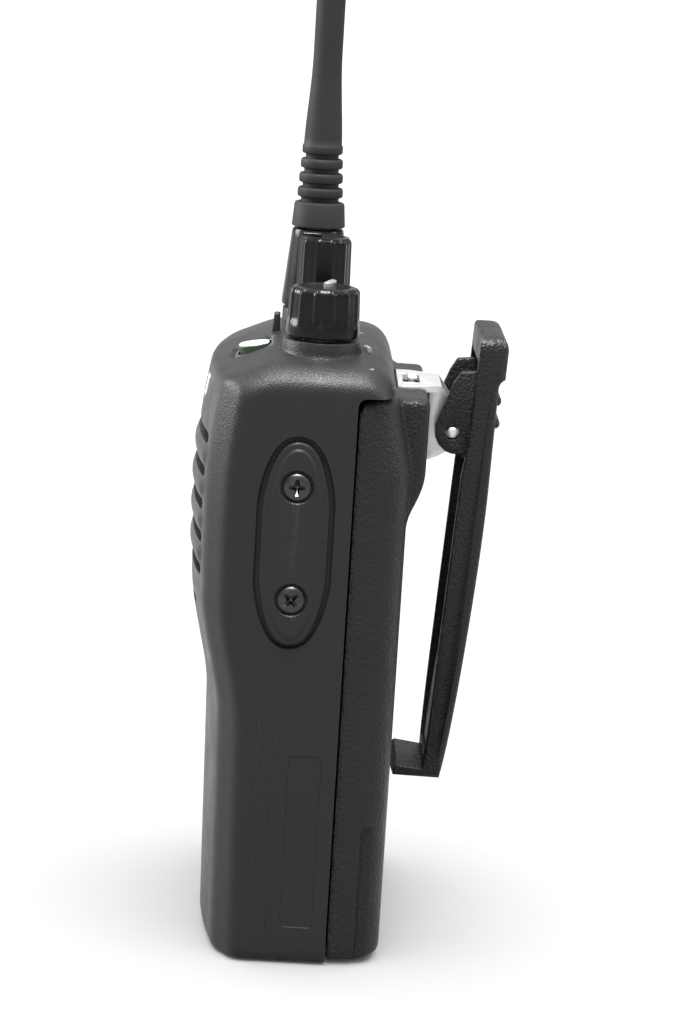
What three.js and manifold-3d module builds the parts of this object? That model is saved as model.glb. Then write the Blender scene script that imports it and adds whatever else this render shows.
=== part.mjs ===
// A compact hand-held two-way radio: a moulded front housing on a die-cast chassis, with a battery pack,
// two control knobs, a whip antenna, keys, an accessory cover and a spring belt clip.
// Millimetres, +Z up. The origin is the middle of the base, the grille faces -Y and the battery faces +Y.
import * as THREE from "three";
import { mergeVertices } from "three/addons/utils/BufferGeometryUtils.js";
import Module from "manifold-3d";

const wasm = await Module();
wasm.setup();

// ---- Driving dimensions ----
const gap = 0.3; // between pieces that are fitted together
const travelGap = 0.35; // round anything that moves

const body = {
  width: 56,
  height: 98.8, // at the ridge of the top face
  wall: 2,
  seam: 6.5, // plane between housing and battery
  front: -14.8, // lower front face at the base
  lean: 0.019, // forward lean of the front face, per millimetre of height
  bulge: 3, // the grille stands this far out of the lower face
  bulgeFoot: 59.8, // below the top
  bulgeHead: 38.8,
  swell: 3.4, // how far the grille falls back again at the top
  swellFrom: 26.8,
  crown: 2.7, // bow of the front face across its width
  crownInset: 5, // each side of the bowed part
  cornerDepth: 4.8,
  baseEdge: 1.4,
};
const top = {
  ridge: -7, // where the front slope meets the flat
  slopeDrop: 4.3,
  slopeRun: 10,
  rearRound: 5.4,
  rear: 12.4, // back of the overhang above the battery
  lip: 5.9, // from the ridge's height down to the underside of the overhang
  lipRound: 1.6,
  crown: 1.6,
  crownInset: 3.6,
  sideDrop: 5.2,
};
const grille = { slots: 5, pitch: 5.3, first: 15, height: 1.8, halfWidth: 20.4 };
const micSlot = { fromTop: 42.5, left: 3, right: 15, height: 1.5 };
const badgeSize = { width: 21, height: 3.6, fromTop: 8.3, thickness: 0.8, proud: 0.25 };
const lens = {
  x: 8.6, y: -10.4, width: 6.2, length: 5, depth: 3.2, recess: 1.3, recessDepth: 0.4,
  frontDrop: 1.5, // its top edge below the ridge, at the front and at the back
  rearDrop: 0.6,
};
const fin = { y: -7.2, thickness: 0.9, width: 2.4, height: 2.6 };
const volume = {
  inset: 13, y: 0.4, bossRadius: 6.2, bossTop: 1.1, knobRadius: 5.8, knobBottom: 1.5, knobHeight: 7.9,
  flutes: 13, pointer: 165, hollowRadius: 4.9, nutRadius: 4.5, bushRadius: 3.3, shaftRadius: 2.2,
};
const selector = {
  inset: 28, y: 0.1, bossRadius: 5, bossTop: 1.1, knobRadius: 4.5, knobBottom: 1.5, knobHeight: 14,
  flutes: 11, pointer: -90, hollowRadius: 3.8, nutRadius: 3.4, bushRadius: 2.6, shaftRadius: 1.7,
};
const antenna = {
  inset: 13, y: -1.2, bossRadius: 5.8, bossTop: 1.6, sleeveBottom: 2, sleeveTop: 15, footRadius: 5.5,
  sleeveRadius: 4.35, collarFoot: 4.5, collarRadius: 4.2, collarTop: 19.4, ringRadius: 3.55, ringTop: 29,
    rings: 4,
  grooveDepth: 0.55, neckTop: 44, whipRadius: 2.4, length: 151, socketRadius: 3.2, studRadius: 1.9,
};
const cover = {
  // its ends: shares of the half width, each with a distance from the tip
  nose: [[0.365, 0], [0.6, 2.2], [0.91, 5.2], [1, 10.5]],
  y: -2.2, fromTop: 29.35, length: 32.3, width: 10.4, thickness: 1.4, proud: 0.8, reveal: 0.7,
  screwSpacing: 18, screwRadius: 2.3, screwFromTop: 29.2, seat: 1.6, boreDepth: 0.7, edge: 0.45, gasket: 0.8,
};
const jacks = { spacing: 8, radius: 2.1, wall: 0.7, length: 11 };
const keys = {
  y: -2.4, pttHeight: 31, pttWidth: 9.4, pttFromTop: 31, keyHeight: 8.4, keyWidth: 7.2, upperFromTop: 54,
  lowerFromTop: 64.6, proud: 1.5, flange: 0.9, flangeThickness: 0.8, round: 3.2, pttTravel: 1, keyTravel: 0.7,
};
const speaker = {
  fromTop: 25.6, radius: 15.6, depth: 5.4, magnetRadius: 10, magnetDepth: 5.6, clothThickness: 0.5,
};
const board = { thickness: 1.2, front: 0.6, keySide: 7.6, jackSide: 12.6, bottom: 4, fromTop: 18.5 };
const can = { keySide: 10, jackSide: 15, foot: 3, height: 33, wall: 0.5, depth: 4.4 };
const chassis = { thickness: 2.6, rib: 1.3, boltInset: 8.4, boltHeight: 15 };
const terminals = { fromTop: 82, spacing: 7 };
const sideDetail = {
  ribs: [-6.1, -3.3], ribFoot: 5.8, ribHead: 40.4, ribWidth: 0.5, ribProud: 0.2, panel: [-1.1, 4.1],
  panelHead: 35, panelDepth: 0.3,
};
const latch = {
  width: 26, thickness: 1.1, reach: 3.1, hook: 1.3, length: 6.2, skin: 1, travel: 2.5, gripWidth: 15,
};
const battery = {
  inset: 0.7, rear: 15.3, bottom: 0.4, topGap: 0.4, corner: 4.6, wall: 1.5, lid: 1.4, slopeFrom: 18,
    slopeIn: 2.5,
  humpHalf: 18.5, humpRear: 18, humpFoot: 29.6, humpBend: 18.4, grooveFromSide: 3, grooveHeight: 23.4,
};
const clip = {
  pinY: 22.4, pinFromTop: 14.2, pinRadius: 0.85, halfWidth: 10.5, wall: 1.7, head: 16.3, tail: 59.6,
    tailCurve: 17,
  headRound: 2.8, earThickness: 1.5, footHalf: 4.7, footTip: 15.95, footThickness: 2.2,
  bracketHalf: 5.8, bracketThickness: 1, plateHalf: 8.2,
  plateDrop: 2, // the top plate lies this far below the pack's top
};

const ridge = body.height;
const half = body.width / 2;
const overhang = ridge - top.lip;
const fromTop = (depth) => ridge - depth;

// ---- Colours ----
const finish = (color, roughness, metalness = 0) =>
  new THREE.MeshStandardMaterial({ color, roughness, metalness });
const shellPlastic = () => finish(0x2b2b2d, 0.55);
const packPlastic = () => finish(0x262628, 0.7);
const glossPlastic = () => finish(0x121213, 0.22);
const softRubber = () => finish(0x1d1d1e, 0.85);
const steel = () => finish(0xc9cacc, 0.3, 1);
const darkSteel = () => finish(0x3a3b3d, 0.4, 1);
const castAlloy = () => finish(0x8d8f92, 0.5, 1);
const contactMetal = () => finish(0xd8b45c, 0.3, 1);
const circuitGreen = () => finish(0x1f5a38, 0.6);

// ---- Solids ----
// A closed three.js geometry as a solid that can be joined and cut.
function solid(geometry) {
  const bare = geometry.clone();
  bare.deleteAttribute("normal");
  bare.deleteAttribute("uv");
  const merged = mergeVertices(bare, 1e-4);
  return new wasm.Manifold(
    new wasm.Mesh({
      numProp: 3,
      vertProperties: merged.attributes.position.array,
      triVerts: new Uint32Array(merged.index.array),
    }),
  );
}

const join = (first, ...rest) => rest.reduce((sum, each) => sum.add(each), first);
const cut = (first, ...rest) => rest.reduce((left, each) => left.subtract(each), first);

// A box between two corners.
function block(low, high) {
  const size = high.map((value, axis) => value - low[axis]);
  const geometry = new THREE.BoxGeometry(...size);
  geometry.translate(...low.map((value, axis) => value + size[axis] / 2));
  return solid(geometry);
}

// A cylinder, a cone or a prism along X, Y or Z, from one place on that axis to another.
function rod(axis, centre, from, to, radius, sides = 24, endRadius = radius) {
  const geometry = new THREE.CylinderGeometry(endRadius, radius, to - from, sides);
  geometry.rotateX(Math.PI / 2);
  geometry.translate(0, 0, (from + to) / 2);
  if (axis === "x") geometry.rotateY(Math.PI / 2);
  if (axis === "y") geometry.rotateX(-Math.PI / 2);
  const [u, v] = centre;
  if (axis === "x") geometry.translate(0, u, v);
  if (axis === "y") geometry.translate(u, 0, v);
  if (axis === "z") geometry.translate(u, v, 0);
  return solid(geometry);
}

// A profile of radius and height turned about a vertical axis.
function turned(points, x, y, segments = 28) {
  const geometry = new THREE.LatheGeometry(points.map(([r, z]) => new THREE.Vector2(r, z)), segments);
  geometry.rotateX(Math.PI / 2);
  geometry.translate(x, y, 0);
  return solid(geometry);
}

function extruded(shape, depth, options = {}) {
  return new THREE.ExtrudeGeometry(shape, { depth, bevelEnabled: false, curveSegments: 4, ...options });
}

// A shape in X and Y, from one height to another.
function upright(shape, from, to, options) {
  const geometry = extruded(shape, to - from, options);
  geometry.translate(0, 0, from);
  return solid(geometry);
}

// A shape in Y and Z, from one X to another.
function across(shape, from, to, options) {
  const geometry = extruded(shape, to - from, options);
  geometry.rotateX(Math.PI / 2);
  geometry.rotateZ(Math.PI / 2);
  geometry.translate(from, 0, 0);
  return solid(geometry);
}

// A shape in X and Z, from one Y to another.
function facing(shape, from, to, options) {
  const geometry = extruded(shape, to - from, options);
  geometry.rotateX(Math.PI / 2);
  geometry.translate(0, to, 0);
  return solid(geometry);
}

function polygon(points) {
  return new THREE.Shape(points.map(([a, b]) => new THREE.Vector2(a, b)));
}

function roundedBox(centreA, centreB, width, height, radius) {
  const [a, b] = [width / 2, height / 2];
  const r = Math.min(radius, a * 0.98, b * 0.98);
  const shape = new THREE.Shape();
  shape.moveTo(centreA - a + r, centreB - b);
  shape.lineTo(centreA + a - r, centreB - b);
  shape.absarc(centreA + a - r, centreB - b + r, r, -Math.PI / 2, 0);
  shape.lineTo(centreA + a, centreB + b - r);
  shape.absarc(centreA + a - r, centreB + b - r, r, 0, Math.PI / 2);
  shape.lineTo(centreA - a + r, centreB + b);
  shape.absarc(centreA - a + r, centreB + b - r, r, Math.PI / 2, Math.PI);
  shape.lineTo(centreA - a, centreB - b + r);
  shape.absarc(centreA - a + r, centreB - b + r, r, Math.PI, Math.PI * 1.5);
  return shape;
}

const radio = new THREE.Group();

function place(name, shape, material, parent = radio) {
  const { vertProperties, triVerts, numProp } = shape.getMesh();
  const positions = new Float32Array((vertProperties.length / numProp) * 3);
  for (let i = 0; i < positions.length / 3; i++) {
    positions.set(vertProperties.subarray(i * numProp, i * numProp + 3), i * 3);
  }
  const indexed = new THREE.BufferGeometry();
  indexed.setAttribute("position", new THREE.BufferAttribute(positions, 3));
  indexed.setIndex(new THREE.BufferAttribute(triVerts, 1));
  const geometry = indexed.toNonIndexed();
  geometry.computeVertexNormals();
  const mesh = new THREE.Mesh(geometry, material);
  mesh.name = name;
  parent.add(mesh);
}

// ---- Housing form ----
const smooth = (t) => THREE.MathUtils.smoothstep(t, 0, 1);

// The Y of the front face's middle at a height.
function frontAt(z) {
  const rise = smooth((z - fromTop(body.bulgeFoot)) / (body.bulgeFoot - body.bulgeHead));
  const fall = Math.max(0, (z - fromTop(body.swellFrom)) / body.swellFrom);
  return body.front - body.lean * z - body.bulge * rise + body.swell * fall ** 2;
}

// A closed outline with a bowed edge towards -v: the front face seen from above, or the top seen from the front.
function bowedOutline(halfWidth, bow, inset, cornerDepth, back) {
  const run = halfWidth - inset;
  const shoulder = bow + (2 * bow * inset) / run;
  const shape = new THREE.Shape();
  shape.moveTo(-halfWidth, back);
  shape.lineTo(-halfWidth, cornerDepth + bow);
  shape.quadraticCurveTo(-halfWidth, shoulder, -run, bow);
  shape.quadraticCurveTo(0, -bow, run, bow);
  shape.quadraticCurveTo(halfWidth, shoulder, halfWidth, cornerDepth + bow);
  shape.lineTo(halfWidth, back);
  return shape;
}

// The housing's outer form, or the same form shrunk by an inset.
function bodyForm(inset, steps, curveSegments) {
  const outline = bowedOutline(half - inset, body.crown, body.crownInset, body.cornerDepth, 40);
  const edge = inset > 0 ? 0 : body.baseEdge;
  const geometry = extruded(outline, ridge + 4 - inset, {
    steps, curveSegments, bevelEnabled: edge > 0, bevelSize: edge, bevelThickness: edge, bevelOffset: -edge,
    bevelSegments: 2,
  });
  geometry.translate(0, 0, inset + edge);
  const position = geometry.attributes.position;
  for (let i = 0; i < position.count; i++) {
    const onFront = position.getY(i) < 20;
    if (onFront) position.setY(i, position.getY(i) + frontAt(position.getZ(i)) + inset);
  }
  const sides = across(sideOutline(inset), -half - 1, half + 1);
  const crownShape = bowedOutline(half - inset, top.crown, top.crownInset, top.sideDrop, ridge + 6);
  const crownForm = facing(crownShape, -40, 40);
  const topForm = crownForm.mirror([0, 0, 1]).translate([0, 0, ridge - inset]);
  return solid(geometry).intersect(sides).intersect(topForm);
}

// The housing seen from the side: base, seam, overhang above the battery, rounded back, flat top, front slope.
function sideOutline(inset) {
  const peak = ridge - inset;
  const slope = top.slopeDrop / top.slopeRun;
  const outer = -32;
  const shape = new THREE.Shape();
  shape.moveTo(outer, inset);
  if (inset > 0) {
    const roof = peak - top.crown;
    shape.lineTo(body.seam + 1, inset);
    shape.lineTo(body.seam + 1, overhang - inset);
    shape.lineTo(body.seam - inset, roof);
    shape.lineTo(top.ridge, roof);
    shape.lineTo(outer, roof - slope * (top.ridge - outer));
    return shape;
  }
  shape.lineTo(body.seam, 0);
  shape.lineTo(body.seam, overhang - top.lipRound);
  shape.quadraticCurveTo(body.seam, overhang, body.seam + top.lipRound, overhang);
  shape.lineTo(top.rear, overhang);
  shape.lineTo(top.rear, peak - top.rearRound);
  shape.absarc(top.rear - top.rearRound, peak - top.rearRound, top.rearRound, 0, Math.PI / 2);
  shape.lineTo(top.ridge, peak);
  shape.lineTo(outer, peak - slope * (top.ridge - outer));
  return shape;
}

const outerForm = bodyForm(0, 20, 5);
const innerForm = bodyForm(body.wall, 10, 3);

// The front slope's height at a depth, and its tilt.
const slopeAngle = Math.atan(top.slopeDrop / top.slopeRun);
const slopeAt = (y) => ridge + (y - top.ridge) * (top.slopeDrop / top.slopeRun);

// ---- Places shared by several pieces ----
const volumeX = half - volume.inset;
const selectorX = half - selector.inset;
const antennaX = -half + antenna.inset;
const coverZ = fromTop(cover.fromTop);
const screwHeights = [-1, 1].map((side) => fromTop(cover.screwFromTop) + (side * cover.screwSpacing) / 2);
const jackHeights = [-1, 1].map((side) => coverZ + (side * jacks.spacing) / 2);
const coverUnder = half + cover.proud - cover.thickness;
const jackX = coverUnder - cover.gasket - 2 * gap;
const speakerZ = fromTop(speaker.fromTop);
const micZ = fromTop(micSlot.fromTop);
const micX = (micSlot.left + micSlot.right) / 2;
const keyPlaces = [
  { name: "ptt", z: fromTop(keys.pttFromTop), width: keys.pttWidth, height: keys.pttHeight },
  { name: "upper", z: fromTop(keys.upperFromTop), width: keys.keyWidth, height: keys.keyHeight },
  { name: "lower", z: fromTop(keys.lowerFromTop), width: keys.keyWidth, height: keys.keyHeight },
];
const chassisRear = body.seam - gap;
const chassisFront = chassisRear - chassis.thickness;
const boltX = half - chassis.boltInset;
const boltZ = chassis.boltHeight;

// Straight sides and drawn-in ends.
function coverOutline(grow) {
  const [w, h] = [cover.width / 2 + grow, cover.length / 2 + grow];
  const corner = (side, end, [share, reach]) => [cover.y + side * w * share, coverZ + end * (h - reach)];
  const [apex, shoulder, bend, flank] = cover.nose;
  const shape = new THREE.Shape();
  shape.moveTo(cover.y, coverZ - h);
  shape.quadraticCurveTo(...corner(1, -1, apex), ...corner(1, -1, shoulder));
  shape.quadraticCurveTo(...corner(1, -1, bend), ...corner(1, -1, flank));
  shape.lineTo(...corner(1, 1, flank));
  shape.quadraticCurveTo(...corner(1, 1, bend), ...corner(1, 1, shoulder));
  shape.quadraticCurveTo(...corner(1, 1, apex), cover.y, coverZ + h);
  shape.quadraticCurveTo(...corner(-1, 1, apex), ...corner(-1, 1, shoulder));
  shape.quadraticCurveTo(...corner(-1, 1, bend), ...corner(-1, 1, flank));
  shape.lineTo(...corner(-1, -1, flank));
  shape.quadraticCurveTo(...corner(-1, -1, bend), ...corner(-1, -1, shoulder));
  shape.quadraticCurveTo(...corner(-1, -1, apex), cover.y, coverZ - h);
  return shape;
}

// ---- Front housing ----
function frontHousing() {
  const bosses = [
    rod("z", [volumeX, volume.y], ridge - 5, ridge + volume.bossTop, volume.bossRadius, 28),
    rod("z", [selectorX, selector.y], ridge - 4, ridge + selector.bossTop, selector.bossRadius, 24),
    rod("z", [antennaX, antenna.y], ridge - 4, ridge + antenna.bossTop, antenna.bossRadius, 28,
      antenna.footRadius),
  ];
  const shell = join(outerForm.subtract(innerForm), ...bosses);
  return cut(join(shell, ...housingRibs()), ...housingCuts());
}

// Raised details: index fin, two fine side ribs, sockets behind the cover screws.
function housingRibs() {
  const index = block(
    [selectorX - fin.width / 2, fin.y - fin.thickness / 2, ridge - 1],
    [selectorX + fin.width / 2, fin.y + fin.thickness / 2, ridge + fin.height],
  );
  const { ribFoot, ribHead, ribWidth, ribProud } = sideDetail;
  const ribs = sideDetail.ribs.map((y) =>
    block([half - 1, y - ribWidth / 2, ribFoot], [half + ribProud, y + ribWidth / 2, ribHead]),
  );
  const seat = across(coverOutline(1.2), half - body.wall - cover.seat, half - 1).intersect(
    block([0, -30, 0], [half, chassisFront - gap, ridge]),
  );
  const posts = screwHeights.map((z) => rod("x", [cover.y, z], half - 6, half - 2, 2.6, 16));
  return [index, ...ribs, seat, ...posts];
}

function housingCuts() {
  const controls = [
    rod("z", [volumeX, volume.y], ridge - 9, ridge + 9, volume.bushRadius + gap, 20),
    rod("z", [selectorX, selector.y], ridge - 9, ridge + 9, selector.bushRadius + gap, 20),
    rod("z", [antennaX, antenna.y], ridge - 9, ridge + 9, antenna.socketRadius + gap, 20),
  ];
  const coverPocket = across(coverOutline(cover.reveal), coverUnder - gap, half + 5);
  const gasketPocket = across(coverOutline(-cover.seat), jackX, half + 5);
  const jackHoles = jackHeights.map((z) => rod("x", [cover.y, z], half - 9, half + 5, jacks.radius + gap, 16));
  const screwHoles = screwHeights.map((z) => rod("x", [cover.y, z], half - 8, half + 5, 1.2 + gap, 12));
  const windows = keyPlaces.map(({ z, width, height }) =>
    across(
      roundedBox(keys.y, z, width + 2 * travelGap, height + 2 * travelGap, keys.round + travelGap),
      -half - 5,
      -half + body.wall + 1,
    ),
  );
  const [panelFront, panelRear] = sideDetail.panel;
  const sidePanel = block([half - sideDetail.panelDepth, panelFront, sideDetail.ribFoot], [half + 2,
    panelRear, sideDetail.panelHead]);
  return [
    ...controls, coverPocket, gasketPocket, ...jackHoles, ...screwHoles, ...windows, sidePanel,
    ...grilleSlots(), lensPocket(), badgePocket(), ...latchRoom(),
  ];
}

function grilleSlots() {
  const slots = Array.from({ length: grille.slots }, (_, i) => {
    const z = fromTop(grille.first + i * grille.pitch);
    const outline = roundedBox(0, z, 2 * grille.halfWidth, grille.height, grille.height / 2);
    return facing(outline, -40, -12, { curveSegments: 3 });
  });
  const micOutline = roundedBox(micX, micZ, micSlot.right - micSlot.left, micSlot.height, micSlot.height / 2);
  return [...slots, facing(micOutline, -40, -12, { curveSegments: 3 })];
}

// A box lying on the front slope, from a depth below it to a height above it.
function onSlope(width, length, below, above) {
  const shape = roundedBox(0, 0, width, length, Math.min(width, length) * 0.45);
  const geometry = extruded(shape, below + above);
  geometry.translate(0, 0, -below);
  geometry.rotateX(slopeAngle);
  geometry.translate(lens.x, lens.y, slopeAt(lens.y));
  return solid(geometry);
}

function lensPocket() {
  const hole = onSlope(lens.width + 2 * gap, lens.length + 2 * gap, 8, 3);
  return hole.add(onSlope(lens.width + 2 * lens.recess, lens.length + 2 * lens.recess,
    lens.recessDepth + 0.3, 3));
}

// A wedge: its top is nearer level than the slope, so its front edge stands highest.
function statusLens() {
  const [front, rear] = [lens.y - lens.length / 2, lens.y + lens.length / 2];
  const under = polygon([
    [front - 1, ridge - 9], [rear + 1, ridge - 9], [rear + 1, ridge - lens.rearDrop], [rear,
      ridge - lens.rearDrop],
    [front, ridge - lens.frontDrop], [front - 1, ridge - lens.frontDrop - 0.2],
  ]);
  return onSlope(lens.width, lens.length, lens.depth, 3).intersect(across(under, 0, half));
}

function badgeOutline(grow) {
  return roundedBox(0, fromTop(badgeSize.fromTop), badgeSize.width + 2 * grow,
    badgeSize.height + 2 * grow, 0.8);
}

function badgePocket() {
  const floor = outerForm.translate([0, badgeSize.thickness + gap, 0]);
  return facing(badgeOutline(gap), -40, -8).subtract(floor);
}

function badge() {
  const outside = outerForm.translate([0, -badgeSize.proud, 0]);
  const inside = outerForm.translate([0, badgeSize.thickness, 0]);
  return facing(badgeOutline(0), -40, -8).intersect(outside).subtract(inside);
}

// ---- Battery latch, in the base behind the front face ----
const latchRear = body.seam + latch.reach;
const latchFront = latchRear - latch.length;

function latchRoom() {
  const track = block(
    [-latch.width / 2 - travelGap, latchFront - latch.travel - travelGap, 0.3 - travelGap - 1],
    [latch.width / 2 + travelGap, body.seam + 1, 0.3 + latch.thickness + travelGap],
  );
  const tongue = block(
    [-latch.gripWidth / 2 - travelGap, latchRear - latch.hook * 2 - latch.travel - 2, 0.5],
    [latch.gripWidth / 2 + travelGap, body.seam + 1, 3.6],
  );
  const springRoom = block([-4.6, latchFront - latch.travel - 3.4, latch.skin], [4.6, latchFront,
    latch.skin + 1.2]);
  return [track, tongue, springRoom];
}

function batteryLatch() {
  const plate = block([-latch.width / 2, latchFront, 0.3], [latch.width / 2, body.seam - gap,
    0.3 + latch.thickness]);
  const tongue = block([-latch.gripWidth / 2, latchFront, 0.3], [latch.gripWidth / 2, latchRear,
    0.3 + latch.thickness]);
  const catchTip = block(
    [-latch.gripWidth / 2, latchRear - latch.hook, 0.3],
    [latch.gripWidth / 2, latchRear, 2.3],
  );
  return join(plate, tongue, catchTip);
}

// ---- Controls on the top ----
function controlBody(x, control) {
  const can = block([x - 5.2, control.y - 4.6, ridge - 13.5], [x + 5.2, chassisFront - gap, ridge - 5.2]);
  const bush = rod("z", [x, control.y], ridge - 6, ridge + 3.2, control.bushRadius, 20);
  return join(can, bush).subtract(
    rod("z", [x, control.y], ridge - 9, ridge + 4, control.shaftRadius + gap, 16),
  );
}

function controlNut(x, control) {
  return rod("z", [x, control.y], ridge + control.bossTop + gap, ridge + 2.7, control.nutRadius, 6).subtract(
    rod("z", [x, control.y], ridge, ridge + 4, control.bushRadius + 0.25, 20),
  );
}

function controlShaft(x, control) {
  const shaftTop = ridge + control.knobBottom + control.knobHeight - 1.6;
  const round = rod("z", [x, control.y], ridge - 8.6, shaftTop, control.shaftRadius, 16);
  const flat = block(
    [x - 5, control.y + control.shaftRadius * 0.6, ridge + 3.6],
    [x + 5, control.y + 5, shaftTop + 1],
  );
  return round.subtract(flat);
}

// A turned knob with a plain lower band, flutes above it and a raised pointer.
function knob(x, control) {
  const { knobRadius: r, knobHeight: h, y } = control;
  const bottom = ridge + control.knobBottom;
  const form = turned(
    [
      [0, bottom], [r, bottom], [r, bottom + h * 0.3], [r - 0.15, bottom + h - 1.1], [r - 0.9, bottom + h],
      [0, bottom + h],
    ],
    x, y, 32,
  );
  const pointer = block([0.8, -0.5, -0.5], [r - 1.2, 0.5, 0.5]).rotate([0, 0,
    control.pointer]).translate([x, y, bottom + h]);
  const grooves = Array.from({ length: control.flutes }, (_, i) => {
    const angle = ((i + 0.5) / control.flutes) * Math.PI * 2;
    const centre = [x + Math.cos(angle) * (r + 0.55), y + Math.sin(angle) * (r + 0.55)];
    return rod("z", centre, bottom + h * 0.3, bottom + h + 1, 1, 8);
  });
  const hollow = rod("z", [x, y], bottom - 1, ridge + 3.7, control.hollowRadius, 20);
  const bore = rod("z", [x, y], bottom, bottom + h - 1.3, control.shaftRadius + gap, 16);
  return cut(join(form, pointer), ...grooves, hollow, bore);
}

// ---- Antenna ----
function antennaSleeve() {
  const z = (height) => ridge + height;
  const { footRadius, sleeveRadius, sleeveBottom, sleeveTop } = antenna;
  const form = turned(
    [
      [0, z(sleeveBottom)], [footRadius - 0.4, z(sleeveBottom)], [footRadius, z(sleeveBottom + 0.5)],
      [sleeveRadius, z(sleeveTop - 0.4)], [sleeveRadius - 0.4, z(sleeveTop)], [0, z(sleeveTop)],
    ],
    antennaX, antenna.y, 28,
  );
  const socketRoom = rod("z", [antennaX, antenna.y], z(0), z(8), antenna.socketRadius + gap, 20);
  const studRoom = rod("z", [antennaX, antenna.y], z(0), z(sleeveTop + 1), antenna.studRadius + gap, 16);
  return cut(form, socketRoom, studRoom);
}

const antennaSocket = () =>
  rod("z", [antennaX, antenna.y], ridge - 8, ridge + 7.6, antenna.socketRadius, 20).subtract(
    rod("z", [antennaX, antenna.y], ridge - 4, ridge + 8, antenna.studRadius + gap, 16),
  );

const antennaStud = () =>
  rod("z", [antennaX, antenna.y], ridge - 3.4, ridge + antenna.sleeveTop + 3, antenna.studRadius, 16);

function antennaWhip() {
  const { ringRadius, ringTop, collarTop, rings, grooveDepth, neckTop, whipRadius, length } = antenna;
  const bottom = ridge + antenna.sleeveTop + gap;
  const pitch = (ringTop - collarTop) / rings;
  const points = [[0, bottom], [antenna.collarFoot, bottom], [antenna.collarRadius, ridge + collarTop - 0.5]];
  for (let i = 0; i < rings; i++) {
    const start = ridge + collarTop + i * pitch;
    points.push([ringRadius - grooveDepth, start], [ringRadius - grooveDepth, start + pitch * 0.32]);
    points.push([ringRadius, start + pitch * 0.42], [ringRadius, start + pitch * 0.9]);
  }
  points.push([ringRadius, ridge + ringTop], [whipRadius + 0.35, ridge + (ringTop + neckTop) / 2 + 1.5]);
  points.push([whipRadius, ridge + neckTop], [whipRadius, ridge + length - whipRadius]);
  points.push([whipRadius * 0.7, ridge + length - whipRadius * 0.3], [0, ridge + length]);
  const form = turned(points, antennaX, antenna.y, 20);
  const studRoom = rod("z", [antennaX, antenna.y], bottom - 1, bottom + 3.4, antenna.studRadius + gap, 16);
  const core = rod("z", [antennaX, antenna.y], bottom, ridge + length - 8, 1.1 + gap, 10);
  return cut(form, studRoom, core);
}

const antennaRadiator = () =>
  rod("z", [antennaX, antenna.y], ridge + antenna.sleeveTop + 3 + gap, ridge + antenna.length - 9, 1.1, 10);

// ---- Accessory cover ----
function jackCover() {
  const { edge, proud } = cover;
  const plate = across(coverOutline(-edge), coverUnder + edge, half + proud - edge, {
    bevelEnabled: true, bevelThickness: edge, bevelSize: edge, bevelSegments: 1,
  });
  const counterbores = screwHeights.map((z) =>
    rod("x", [cover.y, z], half + proud - cover.boreDepth, half + 3, cover.screwRadius + gap, 20),
  );
  const holes = screwHeights.map((z) => rod("x", [cover.y, z], half - 4, half + 3, 1.2 + gap, 12));
  return cut(plate, ...counterbores, ...holes);
}

const jackGasket = () =>
  cut(
    across(coverOutline(-cover.seat - gap), coverUnder - gap - cover.gasket, coverUnder - gap),
    ...jackHeights.map((z) => rod("x", [cover.y, z], half - 9, half + 5, jacks.radius - 0.3, 16)),
    ...screwHeights.map((z) => rod("x", [cover.y, z], half - 9, half + 5, 1.2 + gap, 12)),
  );

// A pan-head screw along X with a cross recess.
function coverScrew(z, turn) {
  const seat = half + cover.proud - cover.boreDepth + 0.05;
  const shank = rod("x", [0, 0], half - 7, seat + 0.2, 1.2, 10);
  const head = rod("x", [0, 0], seat, seat + 0.9, cover.screwRadius - 0.15, 20, cover.screwRadius - 0.65);
  const arms = [0, 1].map((i) =>
    block([seat + 0.4, -1.3, -0.3], [seat + 2, 1.3, 0.3]).rotate([i * 90, 0, 0]),
  );
  return cut(join(shank, head), ...arms).rotate([turn, 0, 0]).translate([0, cover.y, z]);
}

function jack(z) {
  const barrel = rod("x", [cover.y, z], jackX - jacks.length, jackX, jacks.radius, 16);
  return barrel.subtract(rod("x", [cover.y, z], jackX - jacks.length + 2, jackX + 1,
    jacks.radius - jacks.wall, 16));
}

// ---- Keys on the far side ----
function sideKey({ z, width, height }) {
  const inner = -half + body.wall;
  const cap = across(
    roundedBox(keys.y, z, width - 0.8, height - 0.8, keys.round - 0.4),
    -half - keys.proud + 0.4,
    inner + gap + keys.flangeThickness - 0.4,
    { bevelEnabled: true, bevelThickness: 0.4, bevelSize: 0.4, bevelSegments: 1 },
  );
  const flange = across(
    roundedBox(keys.y, z, width + 2 * keys.flange, height + 2 * keys.flange, keys.round),
    inner + gap,
    inner + gap + keys.flangeThickness,
  );
  return cap.add(flange);
}

const keyBoardX = -half + body.wall + gap + keys.flangeThickness + keys.pttTravel + travelGap + 1.3;

function keyBoard() {
  const low = keyPlaces[2].z - 4;
  return block([keyBoardX, keys.y - 3, low], [keyBoardX + 0.8, keys.y + 3, keyPlaces[0].z + 8]);
}

const keySwitch = ({ z }) => rod("x", [keys.y, z], keyBoardX - 1.2, keyBoardX - gap, 1.6, 12);

// ---- Sound ----
const clothFront = frontAt(speakerZ) + body.wall + 2.1;

const grilleCloth = () => rod("y", [0, speakerZ], clothFront, clothFront + speaker.clothThickness,
  speaker.radius, 24);

function speakerBasket() {
  const front = clothFront + speaker.clothThickness + gap;
  const back = front + speaker.depth;
  const cup = rod("y", [0, speakerZ], front, back, speaker.radius, 28, speaker.radius * 0.7);
  const bowl = rod("y", [0, speakerZ], front - 1, back - 1, speaker.radius - 0.6, 24,
    speaker.radius * 0.7 - 1.4);
  return cut(cup, bowl);
}

function speakerCone() {
  const front = clothFront + speaker.clothThickness + gap;
  return rod("y", [0, speakerZ], front + gap, front + 2.4, speaker.radius - 2.4, 24, speaker.radius * 0.45);
}

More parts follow.
